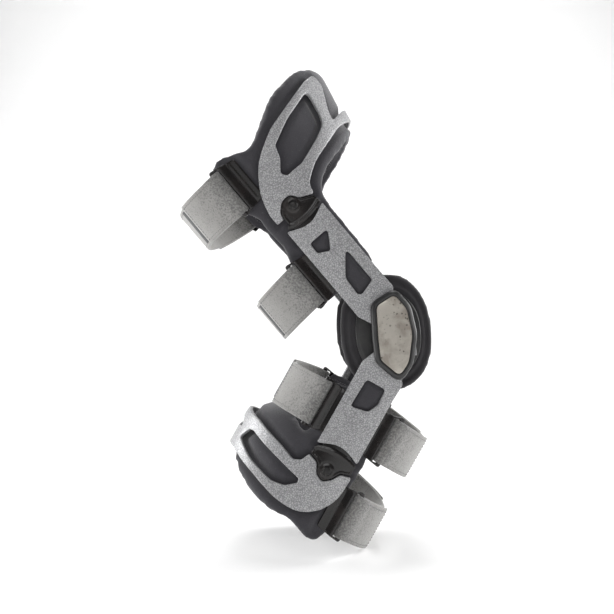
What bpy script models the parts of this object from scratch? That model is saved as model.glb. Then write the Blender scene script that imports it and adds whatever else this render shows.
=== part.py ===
"""Rigid-frame knee brace with a geared two-pivot hinge on each side of the knee.

Units are millimetres in this file and are turned into metres when a mesh is made.
+X is the front of the knee, +Z is up, -Y is the outer (lateral) side, +Y the inner (medial)
side, and the origin is the centre of the knee, midway between the two hinges.

The thigh and the calf section are each described in a flat pattern: u is the arc length round
the leg from the middle of its side, positive towards the side that the cuff wraps, and t is the
distance from that section's hinge pivot along the leg. Segment.place wraps the pattern on the
leg's cross-section, so the frame, the liners, the brackets and the straps all share one surface.
"""

import math

import bmesh
import bpy
from mathutils import Vector
from mathutils.geometry import delaunay_2d_cdt

MM = 0.001

# ---- driving dimensions (mm, degrees) ----
KNEE_HALF_WIDTH = 72.0          # outer face of the uprights from the knee's middle plane
HINGE_TILT = 5.5                # the hinge's long axis leans back by this much
REST_FLEXION = 70.0             # knee angle as stored
EXTENSION_STOP = 0.0            # knee angle at the extension stop
FLEXION_STOP = 75.0             # knee angle at the fitted flexion stop
PIVOT_SPACING = 20.0            # between the two hinge pivots
FIT_GAP = 0.3                   # between pieces that touch
RUN_GAP = 0.8                   # between a strap and the bar it turns round

FRAME_WALL = 3.0                # aluminium sheet of cuffs and uprights
TONGUE_WALL = 2.2               # plastic under the frame
LINER_WALL = 8.0
UPRIGHT_HALF_WIDTH = 20.5
THIGH_UPRIGHT_LENGTH = 123.0    # from the pivot to the end's corners
CALF_UPRIGHT_LENGTH = 108.0

THIGH_FLARE = 0.10              # outward slope of the thigh section's sides
CALF_FLARE = 0.03
THIGH_FRONT_DEPTH = 98.0        # side line to front centre at mid-cuff
THIGH_FRONT_GROWTH = 0.2        # how much deeper that gets per mm up the thigh
THIGH_REAR_DEPTH = 86.0
CALF_REAR_DEPTH = 88.0          # side line to back centre at the cuff
CALF_STRAP_DEPTH = 71.0         # the same at the straps near the knee and in front

STRAP_WIDTH = 42.0
STRAP_WALL = 3.0
STRAP_TAIL = 52.0               # length of the end that is folded back on the strap
NEAR_STRAP_START = 56.0         # where the straps next to the hinge start, from the pivot
BAR_WIDTH = 4.5
SLOT_WIDTH = 4.8
TONGUE_REACH = 16.0             # the tongue goes this far under the frame from its slot
TONGUE_MARGIN = 4.0             # and is this much wider than its strap at each edge
TONGUE_STEP = (8.0, 1.5)        # where it rises, before the slot
TURN_INSET = 1.2                # the strap's bend turns about a line this far inside the bar

GEAR_TEETH = 16
GEAR_BACKLASH = 0.3
TOOTHED_MARGIN = 34.0           # degrees of teeth beyond those that meet in the range
HEAD_RADIUS = 12.5
NECK_HALF_WIDTH = HEAD_RADIUS + 0.5
NECK_START = 8.0                # the shoulders run from here
NECK_END = 26.0                 # to the upright's full width here
EXTENSION_KEY = (1.1, 4.0)      # the stops' near and far edges, outside the head
FLEXION_KEY = (3.2, 6.2)
HINGE_PLATE_WALL = 2.0
RIVET_RADIUS = 3.6
RIVET_HEAD_RADIUS = 6.5
RIVET_HEAD_WALL = 1.6
LINK_RIVET_RADIUS = 2.2
LINK_RIVET_RISE = 1.4           # the rivet's head stands on the link from here
LINK_RISE = 0.8                 # the link's plug stands proud of the frame
CAP_MARGIN = 5.0                # the cap's rim outside the face plate
CAP_WALL = 3.0
CAP_FLOOR_WALL = 1.6
CUT_MARGIN = 2.0                # how far a cutting solid goes past the face it cuts
FACE_PLATE_WALL = 0.8

PAD_HALF_LENGTH = 55.0
PAD_HALF_WIDTH = 43.0
PAD_WALL = 12.0
CUP_HALF_LENGTH = 37.0
CUP_HALF_WIDTH = 29.0
CUP_WALL = 4.0
CUP_CENTRE = (-6.0, 2.0)
PAD_CENTRE = (-7.5, 3.0)
# the pad's rounded edge: (share of its outline, share of its wall from the hinge's side)
PAD_EDGE = ((0.80, 0.0), (0.93, 0.083), (1.0, 0.4), (0.96, 0.8), (0.82, 1.0))

ARC_STEP = 34.0                 # degrees between points on a rounded corner
SHELL_CELL = 11.0               # triangle size on wrapped sheets
LINER_CELL = 16.0

# ---- values worked out from them ----
HALF_REST = REST_FLEXION / 2.0
PITCH_RADIUS = PIVOT_SPACING / 2.0
GEAR_MODULE = PIVOT_SPACING / GEAR_TEETH
TONGUE_TOP = -FRAME_WALL - FIT_GAP
LINER_TOP = TONGUE_TOP - TONGUE_WALL - 2 * FIT_GAP
BRACKET_LIFT = STRAP_WALL + RUN_GAP + TONGUE_WALL - FIT_GAP
STRIP_START = 32.0              # the hook strips start clear of the hinge's plates
FLAT_END = 25.0                 # the sides are flat up to here, for the hinge to turn on
CURVE_START = 48.0              # and follow the leg's section from here


def ramp(value, low, high):
    """Smooth 0 to 1 step between low and high."""
    x = min(1.0, max(0.0, (value - low) / (high - low)))
    return x * x * (3.0 - 2.0 * x)


# ---- materials ----
FINISHES = {
    "powder_coat": ((0.36, 0.36, 0.36), 0.45, 0.35),
    "black_plastic": ((0.020, 0.018, 0.018), 0.35, 0.0),
    "liner": ((0.050, 0.048, 0.052), 0.85, 0.0),
    "strap": ((0.42, 0.41, 0.40), 0.90, 0.0),
    "nickel": ((0.45, 0.42, 0.38), 0.40, 0.8),
    "steel": ((0.55, 0.55, 0.56), 0.35, 1.0),
    "hinge_plastic": ((0.035, 0.035, 0.037), 0.40, 0.0),
    "condyle_pad": ((0.045, 0.045, 0.048), 0.80, 0.0),
}


def make_material(name, finish):
    colour, roughness, metallic = FINISHES[finish]
    material = bpy.data.materials.new(name)
    material.use_nodes = True
    shader = material.node_tree.nodes["Principled BSDF"]
    shader.inputs["Base Color"].default_value = (*colour, 1.0)
    shader.inputs["Roughness"].default_value = roughness
    shader.inputs["Metallic"].default_value = metallic
    return material


def add_object(name, bm, finish, smooth_below=50.0):
    """Turn a bmesh in millimetres into a scene object with its own material."""
    bmesh.ops.recalc_face_normals(bm, faces=bm.faces)
    for vert in bm.verts:
        vert.co *= MM
    mesh = bpy.data.meshes.new(name)
    bm.to_mesh(mesh)
    bm.free()
    mesh.shade_smooth()
    mesh.set_sharp_from_angle(angle=math.radians(smooth_below))
    mesh.materials.append(make_material(name, finish))
    obj = bpy.data.objects.new(name, mesh)
    bpy.context.scene.collection.objects.link(obj)
    return obj


def set_origin(obj, pivot):
    """Move an object's origin to a pivot in the XZ plane, leaving its shape where it is."""
    shift = Vector((pivot[0] * MM, 0.0, pivot[1] * MM))
    for vert in obj.data.vertices:
        vert.co -= shift
    obj.location = shift
    return obj


def boolean(obj, tool, operation):
    """Cut with, or join, another object, which is kept as a hidden guide."""
    modifier = obj.modifiers.new(operation.lower(), "BOOLEAN")
    modifier.operation = operation
    modifier.object = tool
    tool.hide_render = True
    tool.display_type = "WIRE"


# ---- flat outlines ----
def rounded(corners, step=ARC_STEP):
    """Points round an outline of (u, t, corner radius); a radius is limited by its sides."""
    points = []
    count = len(corners)
    for i, (u, t, radius) in enumerate(corners):
        here = Vector((u, t))
        back = Vector(corners[i - 1][:2]) - here
        ahead = Vector(corners[(i + 1) % count][:2]) - here
        turn = math.pi - back.angle(ahead)
        if radius <= 0.0 or turn < math.radians(2.0):
            points.append(here)
            continue
        reach = radius * math.tan(turn / 2.0)
        reach = min(reach, 0.48 * back.length, 0.48 * ahead.length)
        start = here + back.normalized() * reach
        end = here + ahead.normalized() * reach
        pieces = max(2, round(math.degrees(turn) / step))
        for k in range(pieces + 1):
            x = k / pieces
            points.append(start * (1 - x) ** 2 + here * (2 * x * (1 - x)) + end * x * x)
    return points


def grown(corners, margin):
    """The outline with every side moved out by margin, for corners given anticlockwise."""
    count = len(corners)
    result = []
    for i, (u, t, radius) in enumerate(corners):
        here = Vector((u, t))
        before = (here - Vector(corners[i - 1][:2])).normalized()
        after = (Vector(corners[(i + 1) % count][:2]) - here).normalized()
        normal = Vector((before.y, -before.x)) + Vector((after.y, -after.x))
        spot = here + normal * (margin * 2.0 / normal.length_squared)
        result.append((spot.x, spot.y, max(0.0, radius + margin)))
    return result


def oval(half_width, half_length, centre=(0.0, 0.0), count=28, power=2.3):
    """A slightly squared oval."""
    points = []
    for k in range(count):
        angle = 2.0 * math.pi * k / count
        c, s = math.cos(angle), math.sin(angle)
        points.append(Vector((
            centre[0] + half_width * math.copysign(abs(c) ** (2.0 / power), c),
            centre[1] + half_length * math.copysign(abs(s) ** (2.0 / power), s))))
    return points


def circle(radius, centre=(0.0, 0.0), count=14):
    return oval(radius, radius, centre, count, 2.0)


def inside(point, loop):
    """Even-odd test of a point against a closed loop."""
    hit = False
    for a, b in zip(loop, loop[1:] + loop[:1]):
        if (a.y > point.y) != (b.y > point.y):
            if point.x < (b.x - a.x) * (point.y - a.y) / (b.y - a.y) + a.x:
                hit = not hit
    return hit


def divided(loop, cell):
    """The loop with its long sides divided to about one cell."""
    points = []
    for a, b in zip(loop, loop[1:] + loop[:1]):
        pieces = max(1, math.ceil((b - a).length / cell - 0.25))
        points += [a.lerp(b, k / pieces) for k in range(pieces)]
    return points


def sheet(outline, holes=(), cell=SHELL_CELL, creases=()):
    """Triangles of a flat sheet with holes: a list of points and a list of index triples.

    A crease is a value of u along which the sheet bends, and gets its own row of points.
    """
    loops = [divided(loop, cell) for loop in (outline, *holes)]
    points, edges = [], []
    for loop in loops:
        first = len(points)
        points += loop
        edges += [(first + k, first + (k + 1) % len(loop)) for k in range(len(loop))]
    low_u, high_u = min(p.x for p in outline), max(p.x for p in outline)
    low_t, high_t = min(p.y for p in outline), max(p.y for p in outline)
    for u in creases:
        rows = math.ceil((high_t - low_t) / (0.6 * cell))
        for k in range(1, rows):
            spot = Vector((u, low_t + (high_t - low_t) * k / rows))
            if inside(spot, loops[0]) and not any(inside(spot, h) for h in loops[1:]):
                points.append(spot)
    rim = list(points)
    row, t = 0, low_t + cell / 2.0
    while t < high_t:
        u = low_u + cell * (0.5 if row % 2 else 1.0)
        while u < high_u:
            spot = Vector((u, t))
            clear = all((spot - p).length > 0.55 * cell for p in rim)
            if clear and inside(spot, loops[0]) and not any(inside(spot, h) for h in loops[1:]):
                points.append(spot)
            u += cell
        t += cell * 0.87
        row += 1
    verts, _, faces, _, _, _ = delaunay_2d_cdt(points, edges, [], 0, 1e-5)
    kept = []
    for face in faces:
        middle = sum((verts[i] for i in face), Vector((0.0, 0.0))) / len(face)
        if inside(middle, loops[0]) and not any(inside(middle, h) for h in loops[1:]):
            kept.append(tuple(face))
    return verts, kept


def slab(verts, faces, top, bottom):
    """A closed bmesh between two placings of a flat sheet; top and bottom map a 2-D point."""
    bm = bmesh.new()
    upper = [bm.verts.new(top(v)) for v in verts]
    lower = [bm.verts.new(bottom(v)) for v in verts]
    sides = {}
    for face in faces:
        bm.faces.new([upper[i] for i in face])
        bm.faces.new([lower[i] for i in reversed(face)])
        for a, b in zip(face, face[1:] + face[:1]):
            sides[(a, b)] = sides.get((a, b), 0) + 1
    for a, b in sides:
        if (b, a) not in sides:
            bm.faces.new([upper[b], upper[a], lower[a], lower[b]])
    loose = [v for v in bm.verts if not v.link_faces]
    bmesh.ops.delete(bm, geom=loose, context="VERTS")
    return bm


# ---- the leg's surface ----
class Segment:
    """One section of the brace and the leg surface that its pieces lie on.

    wrap is +1 where the cuff goes round the front and -1 where it goes round the back, and u is
    positive that way. near_depth(t) is the section's depth on the cuff's side and far_depth(t)
    on the other side.
    """

    def __init__(self, pivot, along, front, wrap, flare, near_depth, far_depth):
        self.pivot, self.along, self.front = pivot, along, front
        self.wrap, self.flare = wrap, flare
        self.near_depth, self.far_depth = near_depth, far_depth

    def half_width(self, t):
        past = max(0.0, t - FLAT_END)
        return KNEE_HALF_WIDTH + self.flare * past * past / (past + 12.0)

    def depth(self, u, t):
        return self.near_depth(t) if u >= 0 else self.far_depth(t)

    def angle(self, u, t):
        """Turn round the section, in radians from the side line, for an arc length u."""
        a, b = self.depth(u, t), self.half_width(t)
        left, angle, steps = abs(u), 0.0, 0
        while left > 0.0 and steps < 200:
            middle = angle + 0.005
            length = math.hypot(a * math.cos(middle), b * math.sin(middle)) * 0.01
            if length >= left:
                return math.copysign(angle + 0.01 * left / length, u)
            left -= length
            angle += 0.01
            steps += 1
        return math.copysign(angle, u)

    def quarter(self, t):
        """Arc length from the side line to the middle of the cuff."""
        a, b = self.near_depth(t), self.half_width(t)
        steps = 60
        step = math.pi / 2.0 / steps
        return sum(math.hypot(a * math.cos((k + 0.5) * step), b * math.sin((k + 0.5) * step))
                   for k in range(steps)) * step

    def section(self, angle, t, offset):
        """(distance round from the side line's plane, distance out) on the bare ellipse."""
        a = self.near_depth(t) if angle >= 0 else self.far_depth(t)
        b = self.half_width(t)
        size = math.hypot(b * math.sin(angle), a * math.cos(angle))
        forward = a * math.sin(angle) + offset * b * math.sin(angle) / size
        out = b * math.cos(angle) + offset * a * math.cos(angle) / size
        return forward, out

    def world(self, forward, out, t, side):
        """A world point: side is -1 for the outer half of the brace and +1 for the inner."""
        v = forward * self.wrap
        x = self.pivot[0] + self.along[0] * t + self.front[0] * v
        z = self.pivot[1] + self.along[1] * t + self.front[1] * v
        return Vector((x, side * out, z))

    def place(self, u, t, offset, side=-1):
        forward, out = self.section(self.angle(u, t), t, offset)
        curved = max(ramp(t, FLAT_END, CURVE_START), ramp(abs(u), 24.0, 40.0))
        forward = curved * forward + (1.0 - curved) * u
        out = curved * out + (1.0 - curved) * (self.half_width(t) + offset)
        return self.world(forward, out, t, side)


def direction(degrees_back, up=1.0):
    """(along, front) of a section leaning back from vertical, going up or down."""
    lean = math.radians(degrees_back)
    return (-math.sin(lean), up * math.cos(lean)), (math.cos(lean), up * math.sin(lean))


def on_hinge(x, z):
    """A point of the hinge's own frame, in the world's XZ plane."""
    lean = math.radians(HINGE_TILT)
    return (x * math.cos(lean) - z * math.sin(lean), x * math.sin(lean) + z * math.cos(lean))


def thigh_front_depth(t):
    past = max(t, THIGH_UPRIGHT_LENGTH - 13.0) - THIGH_UPRIGHT_LENGTH - 47.0
    return THIGH_FRONT_DEPTH + THIGH_FRONT_GROWTH * past


def thigh_rear_depth(t):
    return THIGH_REAR_DEPTH


def calf_rear_depth(t):
    grown_part = ramp(t, CALF_UPRIGHT_LENGTH - 12.0, CALF_UPRIGHT_LENGTH + 14.0)
    return CALF_STRAP_DEPTH + (CALF_REAR_DEPTH - CALF_STRAP_DEPTH) * grown_part


def calf_front_depth(t):
    return CALF_STRAP_DEPTH


thigh_along, thigh_front = direction(HINGE_TILT + HALF_REST)
calf_along, calf_front = direction(HALF_REST - HINGE_TILT, -1.0)
UPPER_PIVOT = on_hinge(0.0, PITCH_RADIUS)
LOWER_PIVOT = on_hinge(0.0, -PITCH_RADIUS)
THIGH = Segment(UPPER_PIVOT, thigh_along, thigh_front, 1, THIGH_FLARE,
                thigh_front_depth, thigh_rear_depth)
CALF = Segment(LOWER_PIVOT, calf_along, calf_front, -1, CALF_FLARE,
               calf_rear_depth, calf_front_depth)
SIDES = (("lateral", -1), ("medial", 1))


def wrapped(name, segment, outline, holes, top, wall, finish, side=-1, lift=None, creases=()):
    """A sheet of the pattern laid on the leg's surface, from top down by its wall."""
    rise = lift or (lambda u: 0.0)
    verts, faces = sheet(outline, holes, SHELL_CELL, creases)
    bm = slab(verts, faces,
              lambda p: segment.place(p.x, p.y, top + rise(p.x), side),
              lambda p: segment.place(p.x, p.y, top - wall + rise(p.x), side))
    return add_object(name, bm, finish)


def wrapped_pair(name, segment, corners, holes, top, wall, finish, cell=SHELL_CELL):
    """A half pattern that ends on the cuff's middle line, mirrored into one whole shell.

    A corner whose u is None lies on that middle line.
    """
    ends = [(segment.quarter(t) if u is None else u, t, r) for u, t, r in corners]
    verts, faces = sheet(rounded(ends), holes, cell)
    middle_line = sorted((t, segment.quarter(t)) for u, t, _ in corners if u is None)

    def edge_at(t):
        """Where the straight cut between the corners on the middle line lies."""
        for (t0, u0), (t1, u1) in zip(middle_line, middle_line[1:]):
            if t0 - 0.01 <= t <= t1 + 0.01:
                return u0 + (u1 - u0) * (t - t0) / (t1 - t0)
        return math.inf

    on_middle = {i for i, p in enumerate(verts) if p.x > edge_at(p.y) - 0.05}

    def spot(i, offset):
        u = segment.quarter(verts[i].y) if i in on_middle else verts[i].x
        point = segment.place(u, verts[i].y, offset)
        if i in on_middle:
            point.y = 0.0
        return point

    numbers = {tuple(v): i for i, v in enumerate(verts)}
    bm = slab(verts, faces, lambda p: spot(numbers[tuple(p)], top),
              lambda p: spot(numbers[tuple(p)], top - wall))
    middle = [f for f in bm.faces if all(abs(v.co.y) < 1e-4 for v in f.verts)]
    bmesh.ops.delete(bm, geom=middle, context="FACES_ONLY")
    loose = [e for e in bm.edges if not e.link_faces]
    bmesh.ops.delete(bm, geom=loose, context="EDGES")
    bmesh.ops.mirror(bm, geom=bm.verts[:] + bm.edges[:] + bm.faces[:], axis="Y", merge_dist=1e-3)
    bmesh.ops.remove_doubles(bm, verts=bm.verts, dist=1e-3)
    return add_object(name, bm, finish)


# ---- cuffs, uprights, links and liners: corners as (u, t, radius) ----
L = THIGH_UPRIGHT_LENGTH
S = NEAR_STRAP_START
THIGH_CUFF = [
    (None, L + 58, 0), (116, L + 56, 12), (87, L + 51.5, 4), (91, L + 62, 30), (108, L + 84, 8),
    (106, L + 96, 6), (88, L + 94, 20), (66, L + 88, 90), (27, L + 77, 60), (0, L + 62, 50),
    (-17, L + 41, 50), (-23, L + 20, 30), (-22.5, L + 10, 1.5), (-15.5, L + 10, 1),
    (-14, L + 16, 8), (-7, L + 22.5, 8), (2, L + 23.5, 6), (8, L + 15.5, 6),
    (20, L + 10.5, 2), (22.5, L + 20, 14), (40, L + 31.5, 50), (64, L + 38, 90),
    (89, L + 44.5, 60), (None, L + 46, 0)]
THIGH_CUFF_WINDOW = [
    (83, L + 86, 5), (45, L + 75, 60), (21, L + 63.5, 4), (17, L + 52, 8), (8.5, L + 42, 4),
    (12, L + 37, 3), (30, L + 37.5, 14), (58, L + 47, 20), (76, L + 55, 25)]
THIGH_LINK = [
    (-14.5, L + 3.5, 1), (-14.2, L + 13, 3), (-11.5, L + 17.5, 6), (-6, L + 21.6, 7),
    (1.5, L + 22.2, 5), (7, L + 14.6, 6), (18.5, L + 9.4, 2), (20, L + 1.6, 1.5),
    (9, L - 2.6, 30), (-9, L - 2.6, 30), (-18.6, L + 0.6, 2)]
THIGH_LINK_FLANGE = [(-15, L - 11, 4), (15, L - 11, 4), (15, L + 16, 4), (8, L + 31, 5),
                     (-8, L + 31, 5), (-15, L + 16, 4)]
THIGH_RIVET = (-1.0, L + 14.0)
THIGH_WINDOWS = (
    [(9.2, L - 20.5, 2.5), (-1.5, L - 37, 3), (-12, L - 31, 3), (-11.3, L - 20.5, 3)],
    [(10.3, L - 43, 3), (10.3, S - 13, 3), (-5, S - 17, 4), (-8, S - 14, 2),
     (-7, (L + S) / 2 - 30, 10)])
THIGH_LINER = [
    (None, L + 40, 0), (118, L + 35.5, 40), (80, L + 29.5, 60), (55, L + 24, 40),
    (35, L + 15, 20), (28, L + 2, 20), (27, L - 30, 80), (24.5, S - 2, 6), (-40, S - 2, 8),
    (-41, S + 44, 6), (-35, S + 52, 8), (-35, L + 28, 8), (-42, L + 36, 10), (-46, L + 80, 10),
    (-32, L + 88, 14), (0, L + 75, 22), (12, L + 80, 30), (52, L + 101, 70),
    (96, L + 107.5, 16), (None, L + 96, 0)]

C = CALF_UPRIGHT_LENGTH
CALF_CUFF = [
    (None, C + 20.5, 0), (118, C + 20, 2), (108, C + 27, 1.5), (124, C + 30, 2),
    (None, C + 31, 0), (None, C + 48, 0), (98, C + 47.5, 40), (60, C + 54, 60),
    (30, C + 61, 60), (6, C + 62, 40), (-12, C + 51, 40), (-21.5, C + 34, 30),
    (-22.5, C + 13, 2), (-12, C + 14.5, 4), (-7.5, C + 22, 6), (0, C + 28, 7),
    (7.5, C + 24, 7), (12, C + 15, 6), (21.5, C + 12, 2), (25, C + 20, 4), (32, C + 23.5, 5),
    (48, C + 18.5, 40), (84, C + 12, 60), (None, C + 9.5, 0)]
CALF_CUFF_WINDOW = [
    (100, C + 35.5, 2), (91, C + 24.5, 3), (84, C + 23, 3), (45, C + 30, 60),
    (19, C + 35.5, 2), (18, C + 39, 2), (27, C + 47, 8), (40, C + 50, 20), (70, C + 45, 60)]
CALF_LINK = [
    (-20, C + 11, 1), (-11, C + 13.2, 4), (-6.6, C + 20.6, 6), (0, C + 26.6, 7),
    (6.6, C + 22.8, 7), (11.2, C + 13.8, 6), (20, C + 10.8, 1.5), (20, C + 1.6, 1.5),
    (9, C - 2.6, 30), (-9, C - 2.6, 30), (-20, C + 1.6, 1.5)]
CALF_LINK_FLANGE = [(-15, C - 11, 4), (15, C - 11, 4), (15, C + 14, 4), (8, C + 34, 5),
                    (-8, C + 34, 5), (-15, C + 14, 4)]
CALF_RIVET = (0.5, C + 17.0)
CALF_WINDOW = [(9.5, S - 18, 4), (-10, S - 18, 4), (-10.5, S - 3, 4), (-6, S + 6.5, 6),
               (10.5, S + 10, 3)]
CALF_LINER = [
    (None, C + 49.5, 0), (101, C + 53.5, 25), (84, C + 61, 40), (58, C + 69, 50),
    (30, C + 73.5, 50), (8, C + 69.5, 20), (-16, C + 79, 14), (-32, C + 72, 12),
    (-31, C + 15, 20), (-28, S + 34, 40), (-27, S - 2, 8), (38, S - 2, 8), (38, S + 41, 8),
    (27, C + 4, 6), (48, C - 1, 30), (76, C - 10, 40), (102, C - 7, 30), (None, C - 4, 0)]


def make_upright_outline(length, phase):
    """Strip with a toothed head: u, t from the pivot; the teeth face the other pivot."""
    head = head_outline(phase)
    w = UPRIGHT_HALF_WIDTH
    end = rounded([(w, NECK_END, 6), (w, length, 1.5), (0, length - 9, 60), (-w, length, 1.5),
                   (-w, NECK_END, 6), (-NECK_HALF_WIDTH, NECK_START, 2), (-HEAD_RADIUS, 1, 0)])
    return end[:-1] + head + [Vector((NECK_HALF_WIDTH, NECK_START))]


def head_outline(phase):
    """Toothed arc from the back of the head round to its front, as (forward, t) points.

    An angle of 0 faces the other pivot when the knee is straight, and grows backwards, the way
    the contact moves as the knee bends.
    """
    base = PITCH_RADIUS * math.cos(math.radians(20.0))
    root = PITCH_RADIUS - 1.25 * GEAR_MODULE
    tip = PITCH_RADIUS + 0.8 * GEAR_MODULE
    pitch = 2.0 * math.pi / GEAR_TEETH

    def involute(radius):
        a = math.acos(min(1.0, base / radius))
        return math.tan(a) - a

    half = pitch / 4.0 - GEAR_BACKLASH / (2.0 * PITCH_RADIUS)

    def flank(radius):
        return half + involute(PITCH_RADIUS) - involute(max(radius, base))

    first = math.radians(-TOOTHED_MARGIN)
    last = math.radians(FLEXION_STOP / 2.0 + TOOTHED_MARGIN)
    polar = [(HEAD_RADIUS, math.radians(-80)), (HEAD_RADIUS, math.radians(-58)),
             (HEAD_RADIUS, first - 0.10), (root, first)]
    k = math.ceil((first + 0.2) / pitch - phase)
    while (k + phase) * pitch + 0.2 < last:
        middle = (k + phase) * pitch
        for radius in (root, base + 0.1, PITCH_RADIUS, tip):
            polar.append((radius, middle - flank(radius)))
        for radius in (tip, PITCH_RADIUS, base + 0.1, root):
            polar.append((radius, middle + flank(radius)))
        k += 1
    polar += [(root, last), (HEAD_RADIUS, last + 0.10)]
    polar += [(HEAD_RADIUS, last + 0.10 + (math.radians(90) - last - 0.10) * k / 2)
              for k in (1, 2)]
    return [Vector((-r * math.sin(a), -r * math.cos(a))) for r, a in reversed(polar)]


def mirrored_u(points):
    return [Vector((-p.x, p.y)) for p in points]


def make_uprights():
    for where, side in SIDES:
        outline = make_upright_outline(THIGH_UPRIGHT_LENGTH, 0.0)
        holes = [rounded(window) for window in THIGH_WINDOWS] + [circle(RIVET_RADIUS + FIT_GAP)]
        obj = wrapped("thigh_upright_" + where, THIGH, outline, holes, 0.0, FRAME_WALL,
                      "powder_coat", side)
        set_origin(obj, UPPER_PIVOT)
        outline = mirrored_u(make_upright_outline(CALF_UPRIGHT_LENGTH, 0.5))
        holes = [rounded(CALF_WINDOW), circle(RIVET_RADIUS + FIT_GAP)]
        obj = wrapped("calf_upright_" + where, CALF, outline, holes, 0.0, FRAME_WALL,
                      "powder_coat", side)
        set_origin(obj, LOWER_PIVOT)


def make_cuffs():
    wrapped_pair("thigh_cuff", THIGH, THIGH_CUFF, [rounded(THIGH_CUFF_WINDOW)], 0.0,
                 FRAME_WALL, "powder_coat")
    obj = wrapped_pair("calf_cuff", CALF, CALF_CUFF, [rounded(CALF_CUFF_WINDOW)], 0.0,
                       FRAME_WALL, "powder_coat")
    set_origin(obj, LOWER_PIVOT)


def make_hook_strips():
    """Strips under the uprights that the liners' loop backing grips, seen through the windows."""
    parts = ((THIGH, "thigh", THIGH_UPRIGHT_LENGTH), (CALF, "calf", CALF_UPRIGHT_LENGTH))
    for segment, name, length in parts:
        w = UPRIGHT_HALF_WIDTH - 6.5
        corners = [(-w, STRIP_START, 4), (w, STRIP_START, 4), (w, length - 14, 4),
                   (-w, length - 14, 4)]
        for where, side in SIDES:
            obj = wrapped(name + "_hook_strip_" + where, segment, rounded(corners), [],
                          TONGUE_TOP - FIT_GAP, TONGUE_WALL - FIT_GAP, "black_plastic", side)
            if segment is CALF:
                set_origin(obj, LOWER_PIVOT)


def make_liners():
    wrapped_pair("thigh_liner", THIGH, THIGH_LINER, [], LINER_TOP, LINER_WALL, "liner",
                 LINER_CELL)
    obj = wrapped_pair("calf_liner", CALF, CALF_LINER, [], LINER_TOP, LINER_WALL, "liner",
                       LINER_CELL)
    set_origin(obj, LOWER_PIVOT)


def turned(centre, axis, profile, count=12):
    """A solid turned about an axis from (radius, height) pairs, both ends on the axis."""
    bm = bmesh.new()
    axis = axis.normalized()
    side = axis.orthogonal().normalized()
    other = axis.cross(side)
    rings = []
    for radius, height in profile:
        base = centre + axis * height
        if radius == 0.0:
            rings.append([bm.verts.new(base)])
            continue
        rings.append([bm.verts.new(base + side * (radius * math.cos(a)) + other
                                   * (radius * math.sin(a)))
                      for a in (2.0 * math.pi * k / count for k in range(count))])
    for low, high in zip(rings, rings[1:]):
        for k in range(count):
            n = (k + 1) % count
            loop = [low[k % len(low)], low[n % len(low)], high[n % len(high)],
                    high[k % len(high)]]
            bm.faces.new(list(dict.fromkeys(loop)))
    return bm


def surface_normal(segment, u, t, side):
    here = segment.place(u, t, 0.0, side)
    return here, (segment.place(u, t, 1.0, side) - here).normalized()


def make_links():
    """Black couplings between each upright's end and the cuff, each held by a rivet."""
    parts = ((THIGH, "thigh", THIGH_LINK, THIGH_LINK_FLANGE, THIGH_RIVET, UPPER_PIVOT),
             (CALF, "calf", CALF_LINK, CALF_LINK_FLANGE, CALF_RIVET, LOWER_PIVOT))
    for segment, name, plug, flange, rivet, pivot in parts:
        for where, side in SIDES:
            hole = circle(LINK_RIVET_RADIUS + FIT_GAP, rivet, 10)
            body = wrapped(name + "_link_" + where, segment, rounded(flange), [hole],
                           TONGUE_TOP, TONGUE_WALL, "black_plastic", side)
            wall = LINK_RISE - TONGUE_TOP + TONGUE_WALL / 2
            plug_guide = wrapped(name + "_link_plug_guide_" + where, segment, rounded(plug),
                                 [hole], LINK_RISE, wall, "black_plastic", side)
            boolean(body, plug_guide, "UNION")
            spot, normal = surface_normal(segment, *rivet, side)
            r, foot, rise = LINK_RIVET_RADIUS, TONGUE_TOP - TONGUE_WALL, LINK_RIVET_RISE
            profile = [(0, foot), (r, foot), (r, rise), (2 * r, rise), (2 * r, rise + 0.8),
                       (1.3 * r, rise + 1.6), (0, rise + 1.8)]
            pin = add_object(name + "_link_rivet_" + where, turned(spot, normal, profile, 10),
                             "steel")
            if segment is CALF:
                set_origin(body, pivot)
                set_origin(plug_guide, pivot)
                set_origin(pin, pivot)


# ---- straps and their brackets ----
class Strap:
    """A strap, where its bar lies (u) and the stretch of the leg (t) that it starts from."""

    def __init__(self, name, segment, sign, bar, low, slant):
        self.name, self.segment, self.sign = name, segment, sign
        self.bar, self.low, self.slant = bar, low, slant
        self.high = low + STRAP_WIDTH


STRAPS = (
    Strap("thigh_upper", THIGH, -1, 38.0, L + 37.0, 5.0),
    Strap("thigh_lower", THIGH, -1, 40.0, S, -5.0),
    Strap("calf_rear", CALF, 1, 40.0, S, 5.0),
    Strap("calf_front_upper", CALF, -1, 38.0, S, 6.0),
    Strap("calf_front_lower", CALF, -1, 40.0, C + 23.0, 7.0),
)


def bracket_lift(low, high):
    """How far the plastic rises from under the frame, between two distances round the leg."""
    return lambda u: BRACKET_LIFT * ramp(abs(u), low, high)


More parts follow.
